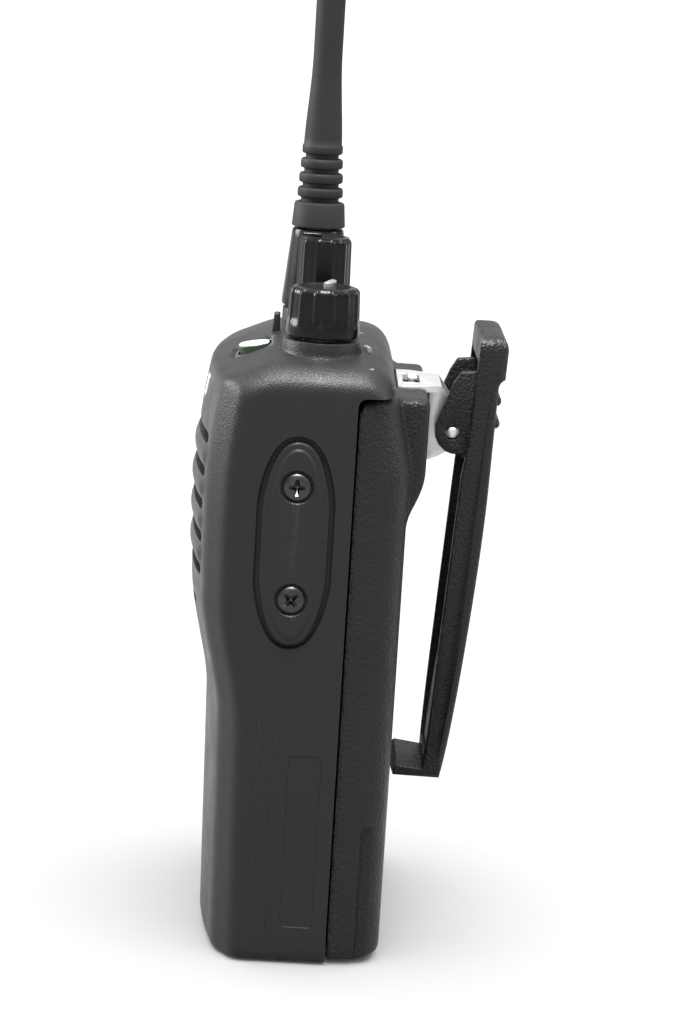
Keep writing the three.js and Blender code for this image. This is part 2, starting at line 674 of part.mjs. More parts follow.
function speakerMagnet() {
  const front = clothFront + speaker.clothThickness + gap + speaker.depth + gap;
  const back = Math.min(front + speaker.magnetDepth, board.front - 2 * gap);
  return rod("y", [0, speakerZ], front, back, speaker.magnetRadius, 20);
}

const microphoneFront = frontAt(micZ - 3) + body.wall + 1.5;

function microphoneBoot() {
  const front = microphoneFront;
  const boot = rod("y", [micX, micZ], front, front + 4.4, 3, 16);
  return boot.subtract(rod("y", [micX, micZ], front + 1, front + 6, 2 + gap, 16));
}

function microphone() {
  return rod("y", [micX, micZ], microphoneFront + 1 + gap, microphoneFront + 4.2, 2, 16);
}

// ---- Boards and chassis ----
function mainBoard() {
  return block(
    [-half + board.keySide, board.front, board.bottom],
    [half - board.jackSide, board.front + board.thickness, fromTop(board.fromTop)],
  );
}

function shieldCan() {
  const [x0, x1] = [-half + can.keySide, half - can.jackSide];
  const [y, z0] = [board.front - can.depth, board.bottom + can.foot];
  const z1 = z0 + can.height;
  const w = can.wall;
  return block([x0, y, z0], [x1, board.front - gap, z1]).subtract(
    block([x0 + w, y + w, z0 + w], [x1 - w, board.front + 1, z1 - w]),
  );
}

function chassisFrame() {
  const [x, z0, z1] = [half - body.wall - gap, body.wall + gap + 2, overhang - body.wall - gap];
  const plate = facing(roundedBox(0, (z0 + z1) / 2, 2 * x, z1 - z0, 2), chassisFront, chassisRear);
  const pockets = [0, 1, 2].map((i) => {
    const low = z0 + 12 + i * 22;
    return block([-x + 8, chassisRear - chassis.rib, low], [x - 8, chassisRear + 1, low + 18]);
  });
  const groove = facing(roundedBox(0, (z0 + z1) / 2, 2 * x - 3, z1 - z0 - 3, 2), chassisRear - 0.9,
    chassisRear + 1)
    .subtract(facing(roundedBox(0, (z0 + z1) / 2, 2 * x - 5, z1 - z0 - 5, 2), chassisRear - 2,
      chassisRear + 2));
  const bolts = [-boltX, boltX].map((bx) => rod("y", [bx, boltZ], chassisFront - 1, chassisRear + 1,
    1.5 + gap, 12));
  const bores = [-boltX, boltX].map((bx) => rod("y", [bx, boltZ], chassisRear - 1.2, chassisRear + 1,
    2.6 + gap, 16));
  const windows = terminalPlaces.map((tx) =>
    block([tx - 2 - gap, chassisFront - 1, terminalZ - 3 - gap], [tx + 2 + gap, chassisRear + 1,
      terminalZ + 3 + gap]),
  );
  return cut(plate, ...pockets, groove, ...bolts, ...bores, ...windows);
}

function chassisSeal() {
  const [x, z0, z1] = [half - body.wall - gap, body.wall + gap + 2, overhang - body.wall - gap];
  const ring = (shrink) => roundedBox(0, (z0 + z1) / 2, 2 * x - shrink, z1 - z0 - shrink, 2);
  return facing(ring(3.6), chassisRear - 0.9 + 0.15, chassisRear).subtract(
    facing(ring(4.4), chassisRear - 2, chassisRear + 2),
  );
}

function chassisScrew(x) {
  const z = boltZ;
  const head = rod("y", [x, z], chassisRear - 1, chassisRear - 0.1, 2.6, 16);
  const shank = rod("y", [x, z], chassisFront - 1.4, chassisRear - 0.5, 1.5, 10);
  const slots = [0, 1].map((i) => block([-1.4, chassisRear - 0.6, -0.3], [1.4, chassisRear + 1, 0.3])
    .rotate([0, i * 90, 0]).translate([x, 0, z]));
  return cut(join(head, shank), ...slots);
}

const terminalZ = fromTop(terminals.fromTop);
const terminalPlaces = [-terminals.spacing, 0, terminals.spacing];

// A leaf contact that bows back towards the battery.
const terminal = (x) =>
  block([x - 1.6, chassisFront + 0.2, terminalZ - 2.6], [x + 1.6, chassisRear, terminalZ + 2.6]);

// ---- Battery ----
const packHalf = half - battery.inset;
const packTop = overhang - battery.topGap;
const packFront = body.seam + gap;

function packOutline() {
  const slopeZ = fromTop(battery.slopeFrom);
  const shape = new THREE.Shape();
  shape.moveTo(packFront, battery.bottom);
  shape.lineTo(battery.rear - 1.2, battery.bottom);
  shape.quadraticCurveTo(battery.rear, battery.bottom, battery.rear, battery.bottom + 1.4);
  shape.lineTo(battery.rear, slopeZ);
  shape.lineTo(battery.rear - battery.slopeIn, packTop - 1);
  shape.quadraticCurveTo(battery.rear - battery.slopeIn - 0.2, packTop,
    battery.rear - battery.slopeIn - 1.2, packTop);
  shape.lineTo(packFront + top.lipRound, packTop);
  shape.quadraticCurveTo(packFront, packTop, packFront, packTop - top.lipRound);
  return shape;
}

function humpOutline() {
  const crest = packTop - 1.1;
  const shape = new THREE.Shape();
  shape.moveTo(packFront + 3, crest);
  shape.lineTo(battery.humpRear - 0.9, crest);
  shape.quadraticCurveTo(battery.humpRear, crest, battery.humpRear, crest - 1.2);
  shape.lineTo(battery.humpRear, fromTop(battery.humpBend));
  const foot = fromTop(battery.humpFoot);
  shape.quadraticCurveTo(battery.humpRear - 0.6, foot + 5, battery.rear - 0.2, foot);
  shape.lineTo(packFront + 3, foot);
  return shape;
}

// The bracket's top plate from above: wide on the pack, narrow at the clip.
const pinZ = fromTop(clip.pinFromTop);
const plateZ = packTop - clip.plateDrop + gap;

function plateOutline(grow) {
  const [wide, narrow] = [clip.plateHalf + grow, clip.bracketHalf + grow];
  const [front, rear] = [battery.humpRear - 4.9 - grow, battery.humpRear + gap + 1.9 + grow];
  return polygon([[-wide, front], [wide, front], [wide, front + 2.2], [narrow, rear], [-narrow, rear],
    [-wide, front + 2.2]]);
}

function batteryCase() {
  const r = battery.corner;
  const plan = new THREE.Shape();
  plan.moveTo(-packHalf, packFront - 1);
  plan.lineTo(packHalf, packFront - 1);
  plan.lineTo(packHalf, battery.rear - r);
  plan.quadraticCurveTo(packHalf - 0.2, battery.rear, packHalf - r * 1.4, battery.rear);
  plan.lineTo(-packHalf + r * 1.4, battery.rear);
  plan.quadraticCurveTo(-packHalf + 0.2, battery.rear, -packHalf, battery.rear - r);
  const form = across(packOutline(), -packHalf, packHalf).intersect(upright(plan, -1, ridge));
  const hump = across(humpOutline(), -battery.humpHalf + 0.6, battery.humpHalf - 0.6, {
    bevelEnabled: true, bevelThickness: 0.6, bevelSize: 0.6, bevelOffset: -0.6, bevelSegments: 1,
  });
  const wall = battery.wall;
  const bay = block(
    [-packHalf + wall + 1.6, packFront - 1, battery.bottom + 4.4],
    [packHalf - wall - 1.6, battery.rear - wall, fromTop(battery.slopeFrom + 1)],
  );
  const lidSeat = block(
    [-packHalf + wall, packFront - 1, battery.bottom + 4],
    [packHalf - wall, packFront + battery.lid + gap, packTop - 3],
  );
  const catchNotch = block(
    [-latch.gripWidth / 2 - 1, packFront - 1, -1],
    [latch.gripWidth / 2 + 1, latchRear + 0.8, 2.3 + travelGap],
  );
  const grooves = [-1, 1].map((side) => {
    const y = battery.rear - battery.grooveFromSide;
    const outline = roundedBox(y, battery.grooveHeight / 2, 2.2, battery.grooveHeight, 1.1);
    const [from, to] = side > 0 ? [packHalf - 0.35, packHalf + 2] : [-packHalf - 2, -packHalf + 0.35];
    return across(outline, from, to);
  });
  const tabSlot = block([-2.6, battery.humpRear - 4.6, packTop - 3.6], [2.6, battery.humpRear - 1.4,
    packTop + 2]);
  const plateSeat = upright(plateOutline(gap), plateZ - gap, packTop + 2).intersect(
    block([-half, battery.humpRear - 5.2, 0], [half, battery.humpRear + 5, ridge]),
  );
  return cut(join(form, hump), bay, lidSeat, catchNotch, tabSlot, plateSeat, ...grooves);
}

function batteryLid() {
  const wall = battery.wall;
  const plate = block(
    [-packHalf + wall + gap, packFront, battery.bottom + 4 + gap],
    [packHalf - wall - gap, packFront + battery.lid, packTop - 3 - gap],
  );
  const windows = terminalPlaces.map((x) =>
    block([x - 2 - gap, packFront - 1, terminalZ - 3 - gap], [x + 2 + gap, packFront + 3,
      terminalZ + 3 + gap]));
  return cut(plate, ...windows);
}

const contact = (x) => block([x - 2, packFront + 0.2, terminalZ - 3], [x + 2, packFront + battery.lid,
  terminalZ + 3]);

function cell(side) {
  const inner = packFront + battery.lid + 2 * gap;
  const edge = packHalf - battery.wall - 1.6 - gap;
  const [x0, x1] = side > 0 ? [gap, edge] : [-edge, -gap];
  return block([x0, inner, battery.bottom + 20], [x1, battery.rear - battery.wall - gap,
    fromTop(battery.slopeFrom + 2)]);
}

function batteryBoard() {
  const inner = packFront + battery.lid + 2 * gap;
  return block([-16, inner, battery.bottom + 6], [16, inner + 1, battery.bottom + 18.5]);
}

// ---- Belt clip ----
function clipBracket() {
  const t = clip.bracketThickness;
  const w = clip.bracketHalf;
  const back = battery.humpRear + gap;
  const topPlate = upright(plateOutline(0), plateZ, plateZ + t);
  const rearPlate = block([-w, back, pinZ - 5], [w, back + t, plateZ + t]);
  const cheekOutline = polygon([
    [back, pinZ - 5], [back + 1.6, pinZ - 4.6], [clip.pinY + 1.4, pinZ - 2.2], [clip.pinY + 2, pinZ],
    [clip.pinY + 1.2, pinZ + 2.2], [back + 1.9, plateZ + t], [back, plateZ + t],
  ]);
  const cheeks = [-w, w - t].map((x) => across(cheekOutline, x, x + t));
  const window = block([-3.6, battery.humpRear - 4, plateZ - 1], [3.6, battery.humpRear - 1.2, plateZ + 3]);
  const bore = rod("x", [clip.pinY, pinZ], -w - 1, w + 1, clip.pinRadius + 0.1, 16);
  return cut(join(topPlate, rearPlate, ...cheeks), window, bore);
}

// The steel tab that snaps up through the bracket's window.
function lockTab() {
  const y = battery.humpRear;
  const foot = block([-2.2, y - 4.2, packTop - 3.2], [2.2, y - 1.8, packTop - 2.2]);
  const blade = block([-2.2, y - 3, packTop - 3.2], [2.2, y - 2.1, plateZ + 1.7]);
  const hook = block([-2.2, y - 3.3, plateZ + 1.1], [2.2, y - 1.7, plateZ + 1.7]);
  return join(foot, blade, hook);
}

const earInner = clip.bracketHalf + gap;
const earOuter = earInner + clip.earThickness;
const clipPin = () => rod("x", [clip.pinY, pinZ], -earOuter - 0.2, earOuter + 0.2, clip.pinRadius, 16);

// Side view of the lever: thumb head, tapering arm and hooked foot.
function leverOutline() {
  const [y, z] = [clip.pinY, pinZ];
  const head = z + clip.head;
  const tail = z - clip.tail;
  const shape = new THREE.Shape();
  shape.moveTo(y + 3.4, head - 0.9);
  shape.quadraticCurveTo(y + 3.5, head, y + 4.4, head);
  shape.lineTo(y + 6.2, head - 0.1);
  shape.quadraticCurveTo(y + 8, head - 0.4, y + 8, head - 2.4);
  shape.lineTo(y + 7.8, z + 9.4);
  shape.quadraticCurveTo(y + 6.7, z + 8.8, y + 6.8, z + 7.4);
  shape.lineTo(y + 6.4, z - 7);
  shape.quadraticCurveTo(y + 6, z - 24, y + 1.9, tail);
  shape.lineTo(clip.footTip + 0.5, tail + 0.5);
  shape.lineTo(clip.footTip, tail + clip.footThickness);
  shape.lineTo(clip.footTip + 1, tail + clip.footThickness + 0.5);
  shape.lineTo(y - 1.2, tail + clip.footThickness);
  shape.quadraticCurveTo(y + 0.6, z - 26, y + 1.7, z - 7);
  shape.lineTo(y + 2.1, z - 4);
  shape.lineTo(y + 2.6, z);
  return shape;
}

// The lever from behind: rounded head corners, and a tail that curves in to the width of the foot.
function leverBack() {
  const [w, r] = [clip.halfWidth, clip.headRound];
  const head = pinZ + clip.head;
  const tail = pinZ - clip.tail;
  const shape = new THREE.Shape();
  shape.moveTo(-clip.footHalf, tail - 1);
  shape.lineTo(clip.footHalf, tail - 1);
  shape.quadraticCurveTo(w, tail + 2, w, tail + clip.tailCurve);
  shape.lineTo(w, head - r);
  shape.quadraticCurveTo(w, head, w - r, head + 0.01);
  shape.lineTo(-w + r, head + 0.01);
  shape.quadraticCurveTo(-w, head, -w, head - r);
  shape.lineTo(-w, tail + clip.tailCurve);
  shape.quadraticCurveTo(-w, tail + 2, -clip.footHalf, tail - 1);
  return shape;
}

// An ear inside each wall of the lever, round the pin.
function leverEar(side) {
  const [y, z] = [clip.pinY, pinZ];
  const outline = polygon([
    [y + 5, z + 10.1], [y + 2.9, z + 10.1], [y + 0.8, z + 9.9], [y - 1.2, z + 5.7], [y - 2.9, z + 0.8],
      [y - 2.15, z - 2.15],
    [y - 1, z - 3.4], [y + 0.9, z - 3.6], [y + 2.4, z - 4.2], [y + 5, z - 4.2],
  ]);
  return side > 0 ? across(outline, earInner, earOuter) : across(outline, -earOuter, -earInner);
}

function clipLever() {
  const w = clip.halfWidth;
  const [y, z] = [clip.pinY, pinZ];
  const channelEnd = z - clip.tail + clip.footThickness + 2;
  const form = across(leverOutline(), -w + 0.5, w - 0.5, {
    bevelEnabled: true, bevelThickness: 0.5, bevelSize: 0.5, bevelOffset: -0.5, bevelSegments: 1,
      curveSegments: 8,
  }).intersect(facing(leverBack(), 0, 40, { curveSegments: 6 }));
  const hollow = across(
    polygon([[y - 9, z - 9], [y + 3.6, z - 7], [y + 3.1, z - 22], [y + 0.6, z - 42], [y - 0.6,
      channelEnd], [y - 9, channelEnd]]),
    -w + clip.wall, w - clip.wall,
  );
  const pivotRoom = across(
    polygon([[y - 9, z - 9.5], [y + 4, z - 9.5], [y + 4.2, z + 6], [y + 3.9, z + 12], [y - 9, z + 12]]),
    -w + clip.wall, w - clip.wall,
  );
  const bore = rod("x", [y, z], -w - 1, w + 1, clip.pinRadius + gap, 16);
  const ribs = [5.6, 1.9].map((rise) => rod("x", [y + 6.7, z + rise], -w + 1.5, w - 1.5, 0.7, 10));
  return cut(join(cut(join(form, ...ribs), hollow, pivotRoom), leverEar(-1), leverEar(1)), bore);
}

// A torsion spring on the pin, between the bracket's cheeks.
class Coil extends THREE.Curve {
  getPoint(t, target = new THREE.Vector3()) {
    const turns = 4;
    const angle = t * turns * Math.PI * 2;
    return target.set(-3 + t * 6, clip.pinY + Math.cos(angle) * 1.7, pinZ + Math.sin(angle) * 1.7);
  }
}

function clipSpring() {
  const wire = new THREE.Shape();
  wire.absarc(0, 0, 0.4, 0, Math.PI * 2);
  const options = { steps: 44, extrudePath: new Coil(), bevelEnabled: false, curveSegments: 3 };
  return solid(new THREE.ExtrudeGeometry(wire, options));
}

function latchSpring() {
  const y = latchFront - latch.travel - travelGap;
  return block([-4, y - 2.4, latch.skin + 0.25], [4, y - 0.3, latch.skin + 0.95]);
}

// ---- The radio ----
place("front_housing", frontHousing(), shellPlastic());
place("badge", badge(), castAlloy());
place("status_lens", statusLens(), finish(0x9fe39a, 0.25));
place("chassis", chassisFrame(), castAlloy());
place("chassis_seal", chassisSeal(), softRubber());
place("chassis_screw_left", chassisScrew(-boltX), darkSteel());
place("chassis_screw_right", chassisScrew(boltX), darkSteel());
place("grille_cloth", grilleCloth(), softRubber());
place("speaker_basket", speakerBasket(), steel());
place("speaker_cone", speakerCone(), softRubber());
place("speaker_magnet", speakerMagnet(), darkSteel());
place("microphone_boot", microphoneBoot(), softRubber());
place("microphone", microphone(), steel());
place("main_board", mainBoard(), circuitGreen());
place("shield_can", shieldCan(), steel());
place("volume_control", controlBody(volumeX, volume), darkSteel());
place("volume_nut", controlNut(volumeX, volume), steel());
place("volume_shaft", controlShaft(volumeX, volume), steel());
place("volume_knob", knob(volumeX, volume), glossPlastic());
place("selector_switch", controlBody(selectorX, selector), darkSteel());
place("selector_nut", controlNut(selectorX, selector), steel());
place("selector_shaft", controlShaft(selectorX, selector), steel());
place("selector_knob", knob(selectorX, selector), glossPlastic());
place("antenna_socket", antennaSocket(), contactMetal());
place("antenna_stud", antennaStud(), contactMetal());
place("antenna_sleeve", antennaSleeve(), glossPlastic());
place("antenna_whip", antennaWhip(), softRubber());
place("antenna_radiator", antennaRadiator(), steel());
place("jack_cover", jackCover(), shellPlastic());
place("jack_gasket", jackGasket(), softRubber());
place("jack_screw_upper", coverScrew(screwHeights[1], 0), darkSteel());
place("jack_screw_lower", coverScrew(screwHeights[0], 45), darkSteel());
place("speaker_jack", jack(jackHeights[1]), contactMetal());
place("microphone_jack", jack(jackHeights[0]), contactMetal());
place("ptt_button", sideKey(keyPlaces[0]), softRubber());
place("upper_side_key", sideKey(keyPlaces[1]), softRubber());
place("lower_side_key", sideKey(keyPlaces[2]), softRubber());
place("key_board", keyBoard(), circuitGreen());
place("ptt_switch", keySwitch(keyPlaces[0]), steel());
place("upper_key_switch", keySwitch(keyPlaces[1]), steel());
place("lower_key_switch", keySwitch(keyPlaces[2]), steel());
["positive", "data", "negative"].forEach((role, i) => {
  place("terminal_" + role, terminal(terminalPlaces[i]), contactMetal());
  place("contact_" + role, contact(terminalPlaces[i]), contactMetal());
});
place("battery_latch", batteryLatch(), shellPlastic());
place("latch_spring", latchSpring(), steel());
place("battery_case", batteryCase(), packPlastic());
place("battery_lid", batteryLid(), packPlastic());
place("battery_cell_left", cell(-1), steel());
place("battery_cell_right", cell(1), steel());
place("battery_board", batteryBoard(), circuitGreen());
place("clip_bracket", clipBracket(), steel());
place("clip_lock_tab", lockTab(), steel());
place("clip_pin", clipPin(), steel());
place("clip_spring", clipSpring(), steel());
place("clip_lever", clipLever(), packPlastic());

export default radio;
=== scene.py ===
from math import atan, cos, pi, radians, sin
import bpy
import bmesh
import numpy as np
from mathutils import Matrix, Vector


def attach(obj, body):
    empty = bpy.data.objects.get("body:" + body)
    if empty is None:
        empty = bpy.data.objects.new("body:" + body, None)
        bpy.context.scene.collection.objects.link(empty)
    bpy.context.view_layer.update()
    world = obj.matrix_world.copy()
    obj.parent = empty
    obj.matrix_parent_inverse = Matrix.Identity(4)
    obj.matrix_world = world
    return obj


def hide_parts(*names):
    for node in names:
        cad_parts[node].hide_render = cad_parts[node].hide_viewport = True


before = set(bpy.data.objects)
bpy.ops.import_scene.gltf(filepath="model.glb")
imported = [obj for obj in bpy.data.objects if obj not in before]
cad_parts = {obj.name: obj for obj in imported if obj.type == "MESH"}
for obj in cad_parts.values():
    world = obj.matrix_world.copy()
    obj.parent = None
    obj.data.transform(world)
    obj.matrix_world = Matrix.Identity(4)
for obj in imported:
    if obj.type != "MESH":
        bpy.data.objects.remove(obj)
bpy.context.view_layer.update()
mm = 0.001
print("radio: frame loaded,", len(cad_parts), "nodes")

# ---- camera, floor and light ----
view = {"place": (420.76, -1.99, 163.88), "pitch": 12.75, "roll": 3.5, "turn": 1.0, "lens": 91.4}


def makeCamera():
    pitch, roll, turn = (radians(view[key]) for key in ("pitch", "roll", "turn"))
    ahead = Vector((-cos(turn) * cos(pitch), sin(turn) * cos(pitch), -sin(pitch)))
    right = ahead.cross(Vector((0, 0, 1))).normalized()
    up = right.cross(ahead)
    leanUp = up * cos(roll) - right * sin(roll)
    leanRight = right * cos(roll) + up * sin(roll)
    data = bpy.data.cameras.new("camera")
    data.lens = view["lens"]
    camera = bpy.data.objects.new("camera", data)
    turned = Matrix((leanRight, leanUp, -ahead)).transposed().to_4x4()
    camera.matrix_world = Matrix.Translation(Vector(view["place"]) * mm) @ turned
    bpy.context.collection.objects.link(camera)
    bpy.context.scene.camera = camera


studio = {
    "floor": 24.0, "floorTone": 0.93, "worldTone": (0.96, 0.97, 1.0), "worldStrength": 0.64,
    "sunStrength": 2.15, "sunSpread": 80,
    # name: (place, aimed at, size, watts)
    "lamps": {
        "softboxTop": ((0.3, -0.04, 1.0), (0, 0, 0.08), 0.32, 26.0),
        "softboxFront": ((-0.25, -1.0, 0.42), (0, 0, 0.08), 0.5, 17.0),
        "softboxRear": ((0.1, 1.0, 0.6), (0, 0, 0.1), 0.4, 4.5),
        "fillSide": ((1.4, -0.3, 0.5), (0, 0, 0.1), 0.5, 1.0),
    },
}


def makeStudio():
    world = bpy.data.worlds.new("studio")
    world.use_nodes = True
    back = world.node_tree.nodes["Background"]
    back.inputs["Color"].default_value = (*studio["worldTone"], 1)
    back.inputs["Strength"].default_value = studio["worldStrength"]
    bpy.context.scene.world = world
    bpy.context.scene.view_settings.view_transform = "Standard"
    for name, (place, target, size, watts) in studio["lamps"].items():
        data = bpy.data.lights.new(name, "AREA")
        data.size = size
        data.energy = watts
        lamp = bpy.data.objects.new(name, data)
        lamp.location = place
        lamp.rotation_euler = (Vector(target) - Vector(place)).to_track_quat("-Z", "Y").to_euler()
        bpy.context.collection.objects.link(lamp)
    data = bpy.data.lights.new("overhead", "SUN")
    data.energy = studio["sunStrength"]
    data.angle = radians(studio["sunSpread"])
    bpy.context.collection.objects.link(bpy.data.objects.new("overhead", data))
    half = studio["floor"] / 2
    mesh = bpy.data.meshes.new("floor")
    mesh.from_pydata([(-half, -half, 0), (half, -half, 0), (half, half, 0), (-half, half, 0)], [],
        [(0, 1, 2, 3)])
    floor = bpy.data.objects.new("floor", mesh)
    floor.location.z = -0.0002
    bpy.context.collection.objects.link(floor)
    paper = bpy.data.materials.new("paper")
    paper.use_nodes = True
    shader = paper.node_tree.nodes["Principled BSDF"]
    shader.inputs["Base Color"].default_value = (*[studio["floorTone"]] * 3, 1)
    shader.inputs["Roughness"].default_value = 0.9
    shader.inputs["Specular IOR Level"].default_value = 0.1
    mesh.materials.append(paper)
    # the softboxes model the radio and leave the floor even
    spared = bpy.data.collections.new("spared")
    spared.objects.link(floor)
    spared.collection_objects[0].light_linking.link_state = "EXCLUDE"
    for name in studio["lamps"]:
        bpy.data.objects[name].light_linking.receiver_collection = spared


makeCamera()
makeStudio()
print("radio: camera and studio")

# ---- small workshop: meshes ----
def meshPiece(name, points, faces):
    mesh = bpy.data.meshes.new(name)
    mesh.from_pydata((np.asarray(points, float) * mm).tolist(), [], faces)
    mesh.validate()
    obj = bpy.data.objects.new(name, mesh)
    bpy.context.collection.objects.link(obj)
    return obj


def settle(obj):
    # keeps what the modifiers make as a plain mesh, and drops the modifiers
    made = bpy.data.meshes.new_from_object(obj.evaluated_get(bpy.context.evaluated_depsgraph_get()))
    obj.modifiers.clear()
    old = obj.data
    obj.data = made
    made.name = obj.name
    bpy.data.meshes.remove(old)
    return obj


def outward(obj, merge=0.0):
    work = bmesh.new()
    work.from_mesh(obj.data)
    if merge:
        bmesh.ops.remove_doubles(work, verts=work.verts, dist=merge * mm)
    bmesh.ops.recalc_face_normals(work, faces=work.faces)
    work.to_mesh(obj.data)
    work.free()
    return obj


def loft(name, loops, closed=False):
    # skin through loops of equally many points, with a flat cap at both ends unless it closes on itself
    count = len(loops[0])
    points = [p for loop in loops for p in loop]
    rows = len(loops)
    faces = []
    for row in range(rows if closed else rows - 1):
        a, b = row * count, ((row + 1) % rows) * count
        faces += [(a + i, a + (i + 1) % count, b + (i + 1) % count, b + i) for i in range(count)]
    if not closed:
        faces.append(tuple(reversed(range(count))))
        faces.append(tuple((rows - 1) * count + i for i in range(count)))
    return outward(meshPiece(name, points, faces))


def turnedPiece(name, profile, x, y, segments=96):
    # profile of (radius, height) about an upright axis; it starts and ends on the axis
    loops = []
    for radius, z in profile:
        loops.append([
                (x + radius * cos(2 * pi * i / segments), y + radius * sin(2 * pi * i / segments), z)
                for i in range(segments)
            ])
    return outward(loft(name, loops), 0.002)


def combine(obj, operation, *others):
    # cuts other solids away, or with INTERSECT keeps what they share
    for other in others:
        change = obj.modifiers.new("cut", "BOOLEAN")
        change.operation = operation
        change.solver = "EXACT"
        change.object = other
    settle(obj)
    for other in others:
        bpy.data.objects.remove(other)
    return obj


def subtract(obj, *cutters):
    return combine(obj, "DIFFERENCE", *cutters)


def meet(obj, other):
    return combine(obj, "INTERSECT", other)


def gather(obj, *others):
    # puts closed parts into one mesh without cutting them
    work = bmesh.new()
    for each in (obj, *others):
        work.from_mesh(each.data)
    work.to_mesh(obj.data)
    work.free()
    for other in others:
        bpy.data.objects.remove(other)
    return obj


def soften(obj, width, segments=3, angle=38):
    edge = obj.modifiers.new("edge", "BEVEL")
    edge.width = width * mm
    edge.segments = segments
    edge.limit_method = "ANGLE"
    edge.angle_limit = radians(angle)
    edge.use_clamp_overlap = True
    edge.miter_outer = "MITER_ARC"
    return settle(obj)


def smoothShade(obj, angle=32):
    obj.data.shade_smooth()
    obj.data.set_sharp_from_angle(angle=radians(angle))
    return obj


def finishPiece(obj, body, slotName, *nodes, angle=32, material=None):
    # the finish named by the slot, unless another is given
    smoothShade(obj, angle)
    obj.data.materials.clear()
    obj.data.materials.append(material or finishes[slotName])
    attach(obj, body)
    if nodes:
        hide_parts(*nodes)
    return obj


def boxPiece(name, low, high):
    (x0, y0, z0), (x1, y1, z1) = low, high
    return loft(name, [[(x0, y0, z), (x1, y0, z), (x1, y1, z), (x0, y1, z)] for z in (z0, z1)])


def roundedRect(centreA, centreB, width, height, radius, steps=8):
    a, b = width / 2, height / 2
    r = max(min(radius, a - 0.001, b - 0.001), 0.001)
    points = []
    for quarter, (sa, sb) in enumerate(((1, -1), (1, 1), (-1, 1), (-1, -1))):
        for i in range(steps + 1):
            turn = radians(-90 + quarter * 90 + 90 * i / steps)
            points.append((
                    centreA + sa * (a - r) + r * cos(turn),
                    centreB + sb * (b - r) + r * sin(turn),
                ))
    return points


def circle(radius, sides):
    return [(radius * cos(t), radius * sin(t)) for t in np.linspace(0, 2 * pi, sides + 1)[:-1]]


def quadratic(start, control, end, steps=8):
    return [
        tuple((1 - t) ** 2 * s + 2 * t * (1 - t) * c + t * t * e for s, c, e in zip(start, control, end))
        for t in (i / steps for i in range(1, steps + 1))
    ]


def copyOf(node, name):
    # a merged copy of a CAD node, to be given softer edges
    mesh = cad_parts[node].data.copy()
    obj = bpy.data.objects.new(name, mesh)
    bpy.context.collection.objects.link(obj)
    work = bmesh.new()
    work.from_mesh(mesh)
    bmesh.ops.remove_doubles(work, verts=work.verts, dist=1e-6)
    bmesh.ops.dissolve_limit(work, angle_limit=radians(1), verts=work.verts, edges=work.edges)
    work.to_mesh(mesh)
    work.free()
    return obj


# Largest or smallest of two fields with the corner between them rounded.
def softMax(a, b, k):
    h = np.maximum(k - np.abs(a - b), 0) / k
    return np.maximum(a, b) + h * h * k / 4


def softMin(a, b, k):
    return -softMax(-a, -b, k)


def ramp(t):
    t = np.clip(t, 0, 1)
    return t * t * (3 - 2 * t)


def castSkin(name, planAt, levels, centre, form, capHigh, capLow, capSteps=(36, 14)):
    # a closed skin where rays from an upright spine leave the form
    # the plan gives the rays their directions
    starts, ways = [], []

    def ringOf(z, plan, squeeze, lift):
        for px, py in plan:
            way = np.array(((px - centre[0]) * squeeze, (py - centre[1]) * squeeze, lift))
            starts.append((centre[0], centre[1], z))
            ways.append(way / np.linalg.norm(way))

    lowSteps = [pi / 2 * (1 - i / capSteps[1]) for i in range(1, capSteps[1])]
    highSteps = [pi / 2 * i / capSteps[0] for i in range(1, capSteps[0])]
    for turn in lowSteps:
        ringOf(levels[0], planAt(levels[0]), cos(turn), -sin(turn) * capLow)
    for z in levels:
        ringOf(z, planAt(z), 1, 0)
    for turn in highSteps:
        ringOf(levels[-1], planAt(levels[-1]), cos(turn), sin(turn) * capHigh)
    starts += [(*centre, levels[0]), (*centre, levels[-1])]
    ways += [np.array((0, 0, -1.0)), np.array((0, 0, 1.0))]
    starts, ways = np.array(starts, float), np.array(ways)
    near, far = np.zeros(len(starts)), np.full(len(starts), 60.0)
    for _ in range(32):
        middle = (near + far) / 2
        spot = starts + ways * middle[:, None]
        out = form(spot[:, 0], spot[:, 1], spot[:, 2]) > 0
        far = np.where(out, middle, far)
        near = np.where(out, near, middle)
    points = starts + ways * near[:, None]
    around = len(planAt(levels[0]))
    rings = (len(points) - 2) // around
    faces = []
    for ring in range(rings - 1):
        a, b = ring * around, (ring + 1) * around
        faces += [(a + i, a + (i + 1) % around, b + (i + 1) % around, b + i) for i in range(around)]
    first, last, top = len(points) - 2, len(points) - 1, (rings - 1) * around
    faces += [(first, (i + 1) % around, i) for i in range(around)]
    faces += [(last, top + i, top + (i + 1) % around) for i in range(around)]
    return outward(meshPiece(name, points, faces))


# ---- small workshop: geometry node trees ----
def makeGroup(kind, name, inputs, outputs):
    # inputs are (label, kind of socket) with a value if they start with one
    tree = bpy.data.node_groups.new(name, kind)
    for label, socket, *value in inputs:
        made = tree.interface.new_socket(label, in_out="INPUT", socket_type="NodeSocket" + socket)
        if value:
            made.default_value = value[0]
    for label, socket in outputs:
        tree.interface.new_socket(label, in_out="OUTPUT", socket_type="NodeSocket" + socket)
    return tree, tree.nodes.new("NodeGroupInput").outputs, tree.nodes.new("NodeGroupOutput").inputs


def makeTree(name, inputs):
    shape = ("Geometry", "Geometry")
    return makeGroup("GeometryNodeTree", name, [shape, *inputs, ("Material", "Material")], [shape])


def makeShade(name, inputs, outputs):
    return makeGroup("ShaderNodeTree", name, [("Vector", "Vector"), *inputs],
        [(label, "Float") for label in outputs])


def feed(tree, where, value):
    # links a socket, or gives it a plain value
    if isinstance(value, bpy.types.NodeSocket):
        tree.links.new(value, where)
    else:
        where.default_value = value


